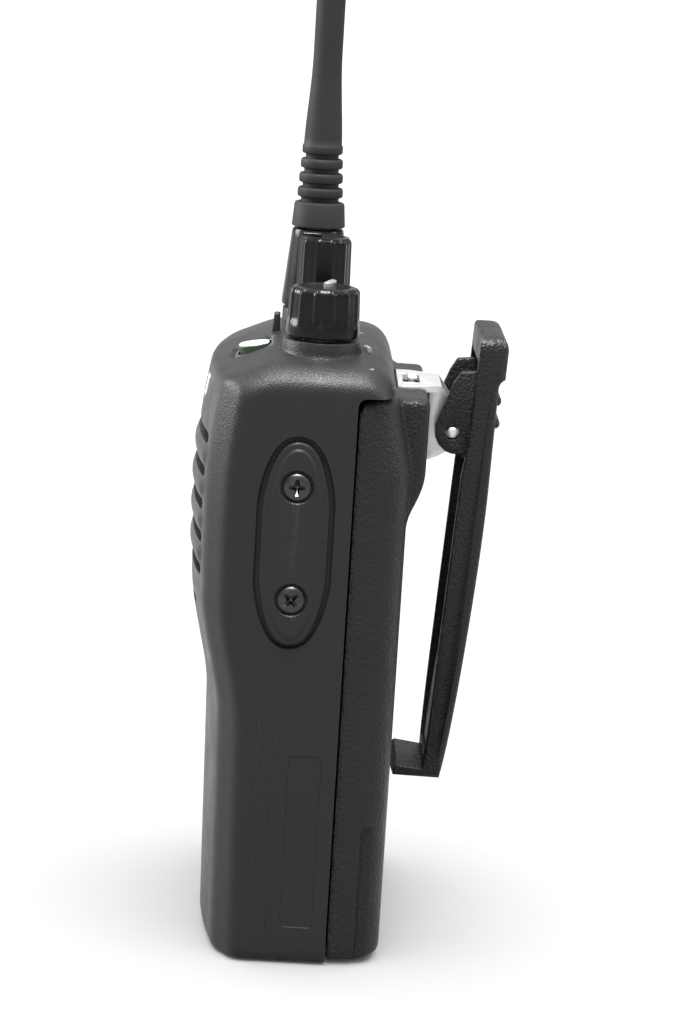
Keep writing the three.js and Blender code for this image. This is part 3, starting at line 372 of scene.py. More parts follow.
def dress(tree, node, **links):
    # feeds a node's inputs by name, with _ for a space, or by number, as at0
    for key, value in links.items():
        feed(tree, node.inputs[int(key[2:])] if key.startswith("at") else node.inputs[key.replace("_",
                    " ")], value)
    return node


def put(tree, kind, settings=None, **links):
    made = tree.nodes.new(kind)
    for key, value in (settings or {}).items():
        setattr(made, key, value)
    return dress(tree, made, **links)


def sums(tree, operation, *values):
    made = tree.nodes.new("ShaderNodeMath")
    made.operation = operation
    for where, value in zip(made.inputs, values):
        feed(tree, where, value)
    return made.outputs[0]


def times(tree, a, b):
    return sums(tree, "MULTIPLY", a, b)


def closeTree(tree, out, shape, material):
    real = put(tree, "GeometryNodeRealizeInstances", Geometry=shape)
    painted = put(tree, "GeometryNodeSetMaterial", Geometry=real.outputs[0], Material=material)
    tree.links.new(painted.outputs[0], out[0])


def runTree(obj, tree, **values):
    change = obj.modifiers.new(tree.name, "NODES")
    change.node_group = tree
    names = {item.name: item.identifier for item in tree.interface.items_tree if item.in_out == "INPUT"}
    for key, value in values.items():
        change[names[key.replace("_", " ")]] = value
    return settle(obj)


def repeatTree():
    # copies of a part along a straight row, each turned a little more than the last
    tree, given, out = makeTree("rowOfParts", [
            ("Count", "Int", 2), ("Start", "Vector"), ("Step", "Vector"), ("Turn", "Vector"),
        ])
    row = put(tree, "GeometryNodeMeshLine", {"mode": "OFFSET"}, Count=given["Count"],
        Start_Location=given["Start"],
        Offset=given["Step"])
    index = put(tree, "GeometryNodeInputIndex").outputs[0]
    turning = put(tree, "ShaderNodeVectorMath", {"operation": "SCALE"}, at0=given["Turn"], Scale=index)
    copies = put(tree, "GeometryNodeInstanceOnPoints", Points=row.outputs[0], Instance=given["Geometry"],
        Rotation=turning.outputs[0])
    closeTree(tree, out, copies.outputs[0], given["Material"])
    return tree


def fluteTree():
    # pushes scallops into the side of a turned part, between two heights
    tree, given, out = makeTree("fluteRound", [
            ("Flutes", "Int", 12), ("Depth", "Float", 0.0005), ("Ridge", "Float", 3.0),
            ("Centre", "Vector"),
            ("Low", "Float", 0.0), ("High", "Float", 0.0), ("Fade", "Float", 0.001),
            ("Inner", "Float", 0.0),
        ])
    place = put(tree, "GeometryNodeInputPosition")
    local = put(tree, "ShaderNodeVectorMath", {"operation": "SUBTRACT"}, at0=place.outputs[0],
        at1=given["Centre"])
    axes = put(tree, "ShaderNodeSeparateXYZ", at0=local.outputs[0])
    angle = sums(tree, "ARCTAN2", axes.outputs["Y"], axes.outputs["X"])
    wave = sums(tree, "SINE", times(tree, angle, times(tree, given["Flutes"], 0.5)))
    ridge = sums(tree, "POWER", sums(tree, "ABSOLUTE", wave), given["Ridge"])
    hollow = sums(tree, "SUBTRACT", 1.0, ridge)
    smooth = {"interpolation_type": "SMOOTHSTEP"}
    rise = put(tree, "ShaderNodeMapRange", smooth, Value=axes.outputs["Z"], From_Min=given["Low"],
        From_Max=sums(tree, "ADD", given["Low"], given["Fade"]))
    radius = sums(tree, "SQRT", sums(tree, "ADD", sums(tree, "POWER", axes.outputs["X"], 2.0),
            sums(tree, "POWER", axes.outputs["Y"], 2.0)))
    outer = put(tree, "ShaderNodeMapRange", smooth, Value=radius, From_Min=given["Inner"],
        From_Max=sums(tree, "ADD", given["Inner"], times(tree, given["Fade"], 0.4)))
    amount = times(tree, times(tree, hollow, given["Depth"]),
        times(tree, rise.outputs[0], outer.outputs[0]))
    share = sums(tree, "DIVIDE", times(tree, amount, -1.0), sums(tree, "MAXIMUM", radius, 0.0001))
    flat = put(tree, "ShaderNodeCombineXYZ", at0=axes.outputs["X"], at1=axes.outputs["Y"])
    push = put(tree, "ShaderNodeVectorMath", {"operation": "SCALE"}, at0=flat.outputs[0], Scale=share)
    moved = put(tree, "GeometryNodeSetPosition", Geometry=given["Geometry"], Offset=push.outputs[0])
    closeTree(tree, out, moved.outputs[0], given["Material"])
    return tree


def coilTree():
    # a round wire wound about X
    tree, given, out = makeTree("windCoil", [
            ("Turns", "Float", 4.0), ("Radius", "Float", 0.002), ("Length", "Float", 0.006),
            ("Wire", "Float", 0.0004),
            ("Place", "Vector"),
        ])
    spiral = put(tree, "GeometryNodeCurveSpiral", Resolution=40, Rotations=given["Turns"],
        Start_Radius=given["Radius"], End_Radius=given["Radius"], Height=given["Length"])
    ring = put(tree, "GeometryNodeCurvePrimitiveCircle", Resolution=10, Radius=given["Wire"])
    tube = put(tree, "GeometryNodeCurveToMesh", Curve=spiral.outputs[0], Profile_Curve=ring.outputs[0],
        Fill_Caps=True)
    laid = put(tree, "GeometryNodeTransform", Geometry=tube.outputs[0], Rotation=(0, pi / 2, 0),
        Translation=given["Place"])
    closeTree(tree, out, laid.outputs[0], given["Material"])
    return tree


rowOfParts, fluteRound, windCoil = repeatTree(), fluteTree(), coilTree()
print("radio: geometry trees")

# ---- shader groups ----
def grainGroup():
    # spark-eroded mould texture: pebbles with finer pits between them
    tree, given, out = makeShade("mouldGrain", [("Scale", "Float", 1500.0), ("Pits", "Float", 0.5)],
        ["Height", "Speckle"])
    drift = put(tree, "ShaderNodeTexNoise", Vector=given["Vector"], Scale=900.0, Detail=2.0)
    bent = put(tree, "ShaderNodeVectorMath", {"operation": "MULTIPLY_ADD"}, at0=drift.outputs["Color"],
        at1=(0.00035, 0.00035, 0.00035), at2=given["Vector"])
    pebble = put(tree, "ShaderNodeTexVoronoi", {"feature": "SMOOTH_F1"}, Vector=bent.outputs[0],
        Scale=given["Scale"], Smoothness=0.6)
    fine = put(tree, "ShaderNodeTexNoise", Vector=given["Vector"],
        Scale=times(tree, given["Scale"], 2.3), Detail=3.0, Roughness=0.6)
    dome = sums(tree, "SUBTRACT", 1.0, pebble.outputs["Distance"])
    tree.links.new(sums(tree, "MULTIPLY_ADD", fine.outputs[0], given["Pits"], dome), out["Height"])
    tree.links.new(fine.outputs[0], out["Speckle"])
    return tree


def wearGroup():
    # where hands and holsters rub: proud edges, broken up
    tree, given, out = makeShade(
        "edgeWear", [("Start", "Float", 0.53), ("Width", "Float", 0.06), ("Break", "Float", 900.0)],
        ["Mask"])
    shape = put(tree, "ShaderNodeNewGeometry")
    edge = put(tree, "ShaderNodeMapRange", Value=shape.outputs["Pointiness"], From_Min=given["Start"],
        From_Max=sums(tree, "ADD", given["Start"], given["Width"]))
    rough = put(tree, "ShaderNodeTexNoise", Vector=given["Vector"], Scale=given["Break"], Detail=4.0)
    torn = put(tree, "ShaderNodeMapRange", Value=rough.outputs[0], From_Min=0.35, From_Max=0.65)
    tree.links.new(times(tree, edge.outputs[0], torn.outputs[0]), out["Mask"])
    return tree


def dustGroup():
    # fine dust on what looks up, and a little everywhere
    tree, given, out = makeShade("fineDust", [("Up", "Float", 0.5), ("Specks", "Float", 700.0)], ["Mask"])
    shape = put(tree, "ShaderNodeNewGeometry")
    axes = put(tree, "ShaderNodeSeparateXYZ", at0=shape.outputs["Normal"])
    facing = put(tree, "ShaderNodeMapRange", Value=axes.outputs["Z"], From_Min=0.2, From_Max=1.0)
    cloud = put(tree, "ShaderNodeTexNoise", Vector=given["Vector"], Scale=90.0, Detail=5.0)
    speck = put(tree, "ShaderNodeTexNoise", Vector=given["Vector"], Scale=given["Specks"], Detail=2.0)
    spots = put(tree, "ShaderNodeMapRange", Value=speck.outputs[0], From_Min=0.62, From_Max=0.74)
    lying = times(tree, facing.outputs[0], given["Up"])
    film = times(tree, cloud.outputs[0], sums(tree, "MULTIPLY_ADD", lying, 1.0, 0.08))
    tree.links.new(sums(tree, "MULTIPLY_ADD", spots.outputs[0], times(tree, lying, 0.6), film),
        out["Mask"])
    return tree


def driftGroup():
    # slow changes of tone and polish over a moulding
    tree, given, out = makeShade("toneDrift", [("Scale", "Float", 60.0)], ["Tone", "Polish"])
    wide = put(tree, "ShaderNodeTexNoise", Vector=given["Vector"], Scale=given["Scale"], Detail=4.0)
    other = put(tree, "ShaderNodeTexNoise", Vector=given["Vector"],
        Scale=times(tree, given["Scale"], 2.7), Detail=5.0, Distortion=0.6)
    tree.links.new(wide.outputs[0], out["Tone"])
    tree.links.new(other.outputs[0], out["Polish"])
    return tree


def brushGroup():
    # drawn or rolled lines in metal
    tree, given, out = makeShade(
        "rolledLines", [("Stretch", "Vector", (1, 30, 30)), ("Scale", "Float", 200.0)], ["Lines"])
    pulled = put(tree, "ShaderNodeVectorMath", {"operation": "MULTIPLY"}, at0=given["Vector"],
        at1=given["Stretch"])
    lines = put(tree, "ShaderNodeTexNoise", Vector=pulled.outputs[0], Scale=given["Scale"], Detail=6.0,
        Roughness=0.65)
    tree.links.new(lines.outputs[0], out["Lines"])
    return tree


mouldGrain, edgeWear, fineDust, toneDrift, rolledLines = (
    grainGroup(), wearGroup(), dustGroup(), driftGroup(), brushGroup())


def useGroup(tree, group, **values):
    return put(tree, "ShaderNodeGroup", {"node_tree": group}, **values)


def blendColours(tree, share, low, high):
    mixed = tree.nodes.new("ShaderNodeMix")
    mixed.data_type = "RGBA"
    feed(tree, mixed.inputs["Factor"], share)
    for key, value in (("A", low), ("B", high)):
        feed(tree, mixed.inputs[key], value if isinstance(value, bpy.types.NodeSocket) else (*value, 1))
    return mixed.outputs["Result"]


def newMaterial(name):
    made = bpy.data.materials.new(name)
    made.use_nodes = True
    tree = made.node_tree
    return made, tree, tree.nodes["Principled BSDF"], tree.nodes.new("ShaderNodeTexCoord").outputs["Object"]


def bumped(tree, height, distance):
    return put(tree, "ShaderNodeBump", Distance=distance, Height=height).outputs[0]


def spread(tree, value, **span):
    return put(tree, "ShaderNodeMapRange", Value=value, **span).outputs[0]


def plastic(name, tone, roughness, grain, depth, pits=0.5, worn=(0.16, 0.16, 0.165), wear=0.5, dust=0.1,
        gloss=0.5,
        coat=0.0):
    # moulded plastic or rubber: grain in the normal, drifting tone and polish, rubbed edges, a little dust
    drift, speckle, dustTone = 0.18, 0.35, (0.5, 0.49, 0.47)
    made, tree, shader, here = newMaterial(name)
    texture = useGroup(tree, mouldGrain, Vector=here, Scale=grain, Pits=pits)
    slow = useGroup(tree, toneDrift, Vector=here)
    rubbed = useGroup(tree, edgeWear, Vector=here).outputs["Mask"]
    dusty = useGroup(tree, fineDust, Vector=here).outputs["Mask"]
    darker, lighter = (tuple(t * share for t in tone) for share in (1 - drift, 1 + drift))
    base = blendColours(tree, slow.outputs["Tone"], darker, lighter)
    flecked = blendColours(tree, times(tree, texture.outputs["Speckle"], speckle), base,
        tuple(min(t * 2.2, 1) for t in tone))
    edged = blendColours(tree, times(tree, rubbed, wear), flecked, worn)
    final = blendColours(tree, times(tree, dusty, dust), edged, dustTone)
    polish = spread(tree, slow.outputs["Polish"], From_Min=0.3, From_Max=0.7, To_Min=roughness - 0.05,
        To_Max=roughness + 0.06)
    shiny = sums(tree, "MULTIPLY_ADD", rubbed, -0.12 * wear, polish)
    dress(tree, shader, Base_Color=final, Roughness=sums(tree, "MULTIPLY_ADD", dusty, 0.2 * dust, shiny),
        Normal=bumped(tree, texture.outputs["Height"], depth * mm), Specular_IOR_Level=gloss,
        Coat_Weight=coat,
        Coat_Roughness=0.12)
    return made


def metal(name, tone, roughness, stretch=(1, 30, 30), depth=0.004, wear=0.3):
    # rolled, cast or plated metal: drawn lines, drifting tone, brighter edges and a little tarnish
    dark, tarnish = 0.75, (0.2, 0.17, 0.14)
    made, tree, shader, here = newMaterial(name)
    lines = useGroup(tree, rolledLines, Vector=here, Stretch=stretch).outputs["Lines"]
    slow = useGroup(tree, toneDrift, Vector=here, Scale=140.0)
    rubbed = useGroup(tree, edgeWear, Vector=here).outputs["Mask"]
    base = blendColours(tree, lines, tuple(t * dark for t in tone), tone)
    stained = blendColours(tree, times(tree, slow.outputs["Tone"], 0.16), base, tarnish)
    bright = blendColours(tree, times(tree, rubbed, wear), stained, tuple(min(t * 1.3, 1) for t in tone))
    rough = spread(tree, lines, From_Min=0.3, From_Max=0.7, To_Min=roughness - 0.06, To_Max=roughness + 0.1)
    dress(tree, shader, Base_Color=bright, Metallic=1.0, Normal=bumped(tree, lines, depth * mm),
        Roughness=sums(tree, "MULTIPLY_ADD", slow.outputs["Polish"], 0.08, rough))
    return made


def lensPlastic():
    # lit green light pipe with a clear coat over it: upward faces carry the LED's green light and faint
    # glow, sideways faces a painted dark shade
    made, tree, shader, here = newMaterial("litGreenLens")
    slow = useGroup(tree, toneDrift, Vector=here, Scale=260.0)
    dusty = useGroup(tree, fineDust, Vector=here).outputs["Mask"]
    axes = put(tree, "ShaderNodeSeparateXYZ", at0=put(tree, "ShaderNodeNewGeometry").outputs["Normal"])
    above = spread(tree, axes.outputs["Z"], From_Min=0.55, From_Max=0.85)
    lit = blendColours(tree, slow.outputs["Tone"], (0.3, 0.58, 0.31), (0.42, 0.7, 0.43))
    # painted shade: faces turned sideways are darkened to near black, in base colour and glow alike
    ledGlowAndPaintedShade = blendColours(tree, above, (0.012, 0.02, 0.012), lit)
    dusted = blendColours(tree, times(tree, dusty, 0.1), ledGlowAndPaintedShade, (0.6, 0.6, 0.58))
    dress(tree, shader, Base_Color=dusted, Emission_Color=ledGlowAndPaintedShade, Emission_Strength=0.12,
        Specular_IOR_Level=0.25,
        Roughness=spread(tree, slow.outputs["Polish"], To_Min=0.35, To_Max=0.5), Coat_Weight=0.05)
    return made


def wovenCloth():
    # fine black speaker cloth: over-and-under threads
    made, tree, shader, here = newMaterial("wovenCloth")
    warp, weft = (put(tree, "ShaderNodeTexWave", {"bands_direction": way}, Vector=here, Scale=420.0,
            Distortion=0.3)
        for way in "XZ")
    slow = useGroup(tree, toneDrift, Vector=here).outputs["Tone"]
    threads = times(tree, warp.outputs[1], weft.outputs[1])
    base = blendColours(tree, threads, (0.006, 0.006, 0.007), (0.03, 0.03, 0.032))
    dress(tree, shader, Base_Color=blendColours(tree, times(tree, slow, 0.3), base, (0.03, 0.028, 0.026)),
        Roughness=spread(tree, threads, To_Min=0.7, To_Max=0.95), Normal=bumped(tree, threads, 0.00012))
    return made


def laminate():
    # green board with copper showing faintly under the lacquer
    made, tree, shader, here = newMaterial("boardLaminate")
    tracks = put(tree, "ShaderNodeTexBrick", Vector=here, Scale=160.0, Mortar_Size=0.03,
        Color1=(0.012, 0.09, 0.035, 1), Color2=(0.015, 0.11, 0.045, 1), Mortar=(0.03, 0.18, 0.07, 1))
    slow = useGroup(tree, toneDrift, Vector=here)
    share = times(tree, slow.outputs["Tone"], 0.3)
    dress(tree, shader, Base_Color=blendColours(tree, share, tracks.outputs[0], (0.02, 0.07, 0.03)),
        Roughness=spread(tree, slow.outputs["Polish"], To_Min=0.25, To_Max=0.5),
        Normal=bumped(tree, tracks.outputs[1], 0.00003))
    return made


finishes = {
    "shell_plastic": plastic("shellPlastic", (0.0075, 0.0075, 0.008), 0.38, 3800.0, 0.04, pits=0.8,
        dust=0.03,
        wear=0.3, worn=(0.04, 0.04, 0.042), gloss=0.24),
    "pack_plastic": plastic("packPlastic", (0.0065, 0.0065, 0.007), 0.4, 2000.0, 0.17, pits=0.3, dust=0.03,
        wear=0.3, worn=(0.04, 0.04, 0.042), gloss=0.22),
    "knob_plastic": plastic("knobPlastic", (0.0022, 0.0022, 0.0024), 0.24, 5200.0, 0.0012, pits=0.6,
        dust=0.05,
        wear=0.2, worn=(0.04, 0.04, 0.042), gloss=0.16, coat=0.02),
    "key_rubber": plastic("keyRubber", (0.016, 0.016, 0.0165), 0.68, 3200.0, 0.008, dust=0.12, wear=0.25,
        gloss=0.35),
    "antenna_rubber": plastic("antennaRubber", (0.0115, 0.0115, 0.0121), 0.6, 2400.0, 0.02, dust=0.05,
        wear=0.3,
        worn=(0.035, 0.035, 0.037), gloss=0.15),
    "seal_rubber": plastic("sealRubber", (0.012, 0.012, 0.0125), 0.62, 3000.0, 0.01, dust=0.05, wear=0.1,
        gloss=0.35),
    "bracket_steel": metal("bracketSteel", (0.8, 0.8, 0.81), 0.42, stretch=(24, 1, 24)),
    "screw_steel": metal("screwSteel", (0.05, 0.05, 0.053), 0.3, stretch=(1, 8, 8), wear=0.8),
    "cast_alloy": metal("castAlloy", (0.52, 0.53, 0.54), 0.5, stretch=(4, 4, 4), depth=0.02),
    "badge_metal": metal("badgeMetal", (0.6, 0.61, 0.615), 0.4, stretch=(1, 20, 40)),
    "contact_brass": metal("contactBrass", (0.86, 0.62, 0.24), 0.28, stretch=(20, 20, 1)),
    "board_laminate": laminate(),
    "can_steel": metal("canSteel", (0.62, 0.63, 0.65), 0.36, stretch=(1, 20, 20)),
    "magnet_iron": metal("magnetIron", (0.2, 0.2, 0.21), 0.45, stretch=(6, 6, 6), depth=0.01),
    "cone_paper": plastic("conePaper", (0.02, 0.019, 0.018), 0.85, 1500.0, 0.05, dust=0.2, wear=0.1,
        gloss=0.2),
    "cloth": wovenCloth(),
    "cell_metal": metal("cellFoil", (0.5, 0.51, 0.52), 0.38, stretch=(3, 3, 3), depth=0.01),
    "lens_green": lensPlastic(),
}
insertGloss = plastic("insertGloss", (0.004, 0.004, 0.0045), 0.14, 5200.0, 0.0008, dust=0.05, wear=0.1,
    coat=0.4)
# light grey for the dial dots and tick, and a painted highlight on the volume pointer's top
markPaint = plastic("markPaint", (0.14, 0.14, 0.145), 0.4, 3200.0, 0.004, dust=0.1, wear=0.1,
    worn=(0.4, 0.4, 0.4))
print("radio: finishes", len(finishes))

# ---- front housing ----
shell = {
    "half": 28, "top": 98.8, "front": -14.8, "lean": 0.019, "bulge": 3, "bulgeFrom": 39, "bulgeTo": 60,
    "swell": 3.4, "swellFrom": 72, "crown": 2.7, "crease": 23.4, "facetBack": 6.2, "seam": 6.5,
    "rear": 12.4,
    "ledge": 92.9, "ledgeRound": 1.6, "ridge": -7, "slope": 0.43, "topCrown": 1.6, "wall": 2,
    "slots": 5, "firstSlot": 83.8, "pitch": 5.3, "slotHeight": 1.8, "slotHalf": 20.4, "slatBulge": 0.6,
    "micSlot": (3, 15, 56.3, 1.5), "ribs": (-6.1, -3.3), "ribFoot": 5.8, "ribHead": 40.4,
    "panel": (-1.1, 4.1, 6.2, 35), "panelDepth": 0.1, "crownHalf": 23, "roofHalf": 24.4, "flank": 0.24,
    "facetDepth": 2.75, "planDepth": 2.79, "shoulderX": 25.8, "shoulderDrop": 2.1,
    # how widely each corner is rounded
    "edge": {"facet": 0.5, "side": 1.3, "tilt": 1.2, "shoulder": 1.6, "rear": 6.2, "top": 1.0, "foot": 1.5},
}


def frontAt(z):
    rise = ramp((z - shell["bulgeFrom"]) / (shell["bulgeTo"] - shell["bulgeFrom"]))
    fall = np.maximum(0, (z - shell["swellFrom"]) / (shell["top"] - shell["swellFrom"]))
    return shell["front"] - shell["lean"] * z - shell["bulge"] * rise + shell["swell"] * fall ** 2


def slatRise(ax, z):
    low = shell["firstSlot"] - (shell["slots"] - 1) * shell["pitch"]
    lobes = 0.5 - 0.5 * np.cos(2 * pi * (z - low) / shell["pitch"])
    inside = ramp((z - low + 1.6) / 1.6) * ramp((shell["firstSlot"] + 1.6 - z) / 1.6)
    return (shell["slatBulge"] * lobes - 0.15) * inside * ramp((shell["slotHalf"] + 0.9 - ax) / 1.8)


def shellForm(x, y, z):
    ax = np.abs(x)
    depth = y - frontAt(z)
    crease, edge = shell["crease"], shell["edge"]
    bow = shell["crown"] * (np.minimum(ax, crease) / shell["crownHalf"]) ** 2
    front = bow + np.maximum(ax - crease, 0) * shell["flank"] - depth - slatRise(ax, z)
    facet = 0.6 * (ax - crease) - 0.8 * (depth - shell["facetDepth"])
    wall = softMax(softMax(front, facet, edge["facet"]), ax - shell["half"], edge["side"])
    roof = shell["top"] - shell["topCrown"] * (ax / shell["roofHalf"]) ** 2
    tilt = softMin((y - shell["ridge"]) * shell["slope"], 0 * y, edge["tilt"])
    drop = z - shell["top"] - tilt + shell["shoulderDrop"]
    shoulder = 0.74 * (ax - shell["shoulderX"]) + 0.67 * drop
    lid = softMax((z - roof - tilt) * 0.95, shoulder, edge["shoulder"])
    back = softMax(lid, y - shell["rear"], edge["rear"])
    return softMax(softMax(wall, back, edge["top"]), -z, edge["foot"])


def shellPlan(z):
    f = float(frontAt(z))
    crease, half, plan = shell["crease"], shell["half"], shell["planDepth"]
    right = [(x, f + shell["crown"] * (x / shell["crownHalf"]) ** 2) for x in np.linspace(0, crease, 42)]
    right += [(crease + (half - crease) * t, f + plan + (shell["facetBack"] - plan) * t)
        for t in (0.04, 0.1, 0.2, 0.34, 0.5, 0.66, 0.8, 0.9, 0.97, 1)]
    right += [(half, y) for y in np.linspace(f + shell["facetBack"], shell["rear"], 47)[1:]]
    right += [(x, shell["rear"]) for x in np.linspace(half, 0, 22)[1:]]
    return right + [(-x, y) for x, y in reversed(right[1:-1])]


def acrossX(name, outlineAt, levels):
    # outlines in Y and Z, each at its own X
    return loft(name, [[(x, a, b) for a, b in outlineAt(grow)] for x, grow in levels])


cover = {
    "y": -2.2, "z": 69.45, "width": 10.4, "length": 32.3, "gap": 0.7, "screws": (78.6, 60.6),
    # its ends: shares of the half width, each with a distance from the tip
    "nose": ((0.365, 0), (0.6, 2.2), (0.91, 5.2), (1, 10.5)),
}


def coverOutline(grow):
    w, h = cover["width"] / 2 + grow, cover["length"] / 2 + grow
    apex, shoulder, bend, flank = ((w * share, h - reach) for share, reach in cover["nose"])
    corner = quadratic((0, h), apex, shoulder, 10) + quadratic(shoulder, bend, flank, 14)
    right = [(a, -b) for a, b in [(0, h)] + corner] + [(a, b) for a, b in reversed(corner)]
    whole = right + [(-a, -b) for a, b in right]
    return [(cover["y"] + a, cover["z"] + b) for a, b in whole]


keys = {
    "y": -2.4,
    # name: (height of its middle, height, width, corner)
    "places": {"ptt": (67.8, 31, 9.4, 3.2), "upper": (44.8, 8.4, 7.2, 3.2), "lower": (34.2, 8.4, 7.2, 3.2)},
}


def keyOutline(which, grow):
    z, height, width, corner = keys["places"][which]
    return roundedRect(keys["y"], z, width + 2 * grow, height + 2 * grow, corner + grow)


status = {
    "x": 8.6, "y": -10.4, "width": 5.4, "length": 5, "front": 97.15, "lean": 0.18,
    "dish": (4.2, 13.0, -13.6, -7.3),
    "dishDepth": 0.45,
}


def slopePoint(x, y, lift):
    # a point over the front slope of the top, which falls away to the sides
    tilt = atan(shell["slope"])
    roof = shell["top"] - shell["topCrown"] * (x / shell["roofHalf"]) ** 2
    z = roof + (y - shell["ridge"]) * shell["slope"]
    return (x, y - lift * sin(tilt), z + lift * cos(tilt))


def onSlope(name, outlineAt, levels):
    return loft(name, [[slopePoint(a, b, lift) for a, b in outlineAt(grow)] for lift, grow in levels])


def dishOutline(grow):
    x0, x1, y0, y1 = status["dish"]
    return roundedRect((x0 + x1) / 2, (y0 + y1) / 2, x1 - x0 + 2 * grow, y1 - y0 + 2 * grow, 1.6 + grow)


def statusOutline(grow):
    return roundedRect(status["x"], status["y"], status["width"] + 2 * grow, status["length"] + 2 * grow,
        2.1 + grow)


def housingCutters():
    half, seam, ledge, r = shell["half"], shell["seam"], shell["ledge"], shell["ledgeRound"]
    bay = [(seam, -5), (40, -5), (40, ledge), (seam + r, ledge)]
    bay += quadratic((seam + r, ledge), (seam, ledge), (seam, ledge - r), 6)
    cutters = [loft("bay", [[(x, y, z) for y, z in bay] for x in (-40, 40)])]
    for which in keys["places"]:
        cutters.append(acrossX("window", lambda grow, which=which: keyOutline(which, grow),
                [(-25, 0.35), (-27.7, 0.35), (-28.02, 0.6), (-31, 1.2)]))
    y0, y1, z0, z1 = shell["panel"]
    cutters.append(acrossX("panel", lambda grow: roundedRect((y0 + y1) / 2, (z0 + z1) / 2,
                y1 - y0 + 2 * grow,
                z1 - z0 + 2 * grow, 0.6 + grow, 4),
            [(half - shell["panelDepth"], 0), (half + 0.02, 0.06), (half + 2, 0.6)]))
    for i in range(shell["slots"]):
        z = shell["firstSlot"] - i * shell["pitch"]
        outline = roundedRect(0, z, 2 * shell["slotHalf"], shell["slotHeight"], shell["slotHeight"] / 2, 6)
        cutters.append(loft("slot", [[(a, y, b) for a, b in outline] for y in (-40, -12)]))
    left, right, z, height = shell["micSlot"]
    outline = roundedRect((left + right) / 2, z, right - left, height, height / 2, 6)
    cutters.append(loft("micSlot", [[(a, y, b) for a, b in outline] for y in (-40, -12)]))
    dish = status["dishDepth"]
    cutters.append(onSlope("dish", dishOutline, [(-dish, 0), (0.05, 0.5), (3, 2)]))
    cutters.append(onSlope("lensHole", statusOutline, [(-7, 0.25), (1, 0.25)]))
    latchRoom = boxPiece("latchRoom", (-13.35, 0.5, -2), (13.35, 8, 1.75))
    pocket = acrossX("coverPocket", coverOutline, [
            (27.07, cover["gap"]), (27.76, cover["gap"]), (28.02, cover["gap"] + 0.22),
            (30, cover["gap"] + 0.6)])
    return cutters + [latchRoom, pocket]


def makeHousing():
    levels = np.concatenate([np.arange(4, 36, 1.3), np.arange(36, 58, 0.9), np.arange(58, 88.2, 0.5)])
    skin = castSkin("housing_shell", shellPlan, levels, (0, 0), shellForm, 11.5, 4.5)

    def hollowForm(x, y, z):
        roofBack = 0.82 * (y - 4.5) + 0.572 * (z - 95.2)
        return np.maximum(shellForm(x, y, z) + shell["wall"], roofBack)

    hollow = castSkin("hollow", lambda z: shellPlan(z)[::4], np.arange(7, 84, 5.5), (0, 0), hollowForm, 11,
        6, (10, 5))
    subtract(skin, hollow, *housingCutters())
    foot = shell["top"]

    def boss(r, flare, height, x, y):
        # an upright wall with a small foot and a crisp top edge
        return turnedPiece("boss", [
                (0, 96), (r + flare, 96), (r + flare, 97.4), (r + flare * 0.4, 97.8), (r + 0.05, 98.4),
                (r, foot + height - 0.16),
                (r - 0.05, foot + height - 0.05), (r - 0.16, foot + height), (0, foot + height)], x, y)

    bosses = [boss(6.2, 0.5, 1.1, 15, 0.4), boss(5, 0.4, 1.1, 0, 0.1), boss(5.2, 0.4, 1.6, -15, -1.2)]
    marks = [turnedPiece("dot", [(0, 97), (r, 97), (r, z), (r * 0.8, z + 0.16), (r * 0.4, z + 0.22),
                (0, z + 0.22)], x, y, 20)
        for x, y, z, r in ((-0.1, 6.8, 98.6, 0.45), (23.9, 8.2, 96.6, 0.45))]
    arc = [radians(turn) for turn in np.linspace(92, 114, 15)]
    around = roundedRect(0, 0, 0.7, 1.6, 0.25, 3)
    marks.append(loft("tick", [[(15 + (7.6 + a) * cos(t), 0.4 + (7.6 + a) * sin(t), 97.95 + b) for a,
                    b in around]
                for t in arc]))
    fin = soften(loft("fin", [[(x, y, z) for x,
                    y in roundedRect(0, -7.2 + (z - 97.8) * 0.04, 2.4, 1.0 + (101.4 - z) * 0.1, 0.3, 3)]
                for z in (97.8, 101.4)]), 0.25)
    ring = circle(0.22, 10)
    rib = loft("ribs", [[(a * s, b * s, z) for a, b in ring] for z, s in (
                (shell["ribFoot"], 0.2), (shell["ribFoot"] + 0.15, 0.8), (shell["ribFoot"] + 0.4, 1),
                (shell["ribHead"] - 0.4, 1), (shell["ribHead"] - 0.15, 0.8), (shell["ribHead"], 0.2))])
    gapY = shell["ribs"][1] - shell["ribs"][0]
    rib = runTree(rib, rowOfParts, Count=2, Start=((shell["half"] - 0.1) * mm, shell["ribs"][0] * mm, 0.0),
        Step=(0.0, gapY * mm, 0.0), Material=finishes["shell_plastic"])
    gather(skin, *bosses, fin, rib)
    gather(*marks)
    marks[0].name = "dial_marks"
    # the dial dots and tick are light grey
    finishPiece(marks[0], "radio", "badge_metal", material=markPaint)
    finishPiece(skin, "radio", "shell_plastic", "front_housing", angle=34)


makeHousing()
print("radio: housing")


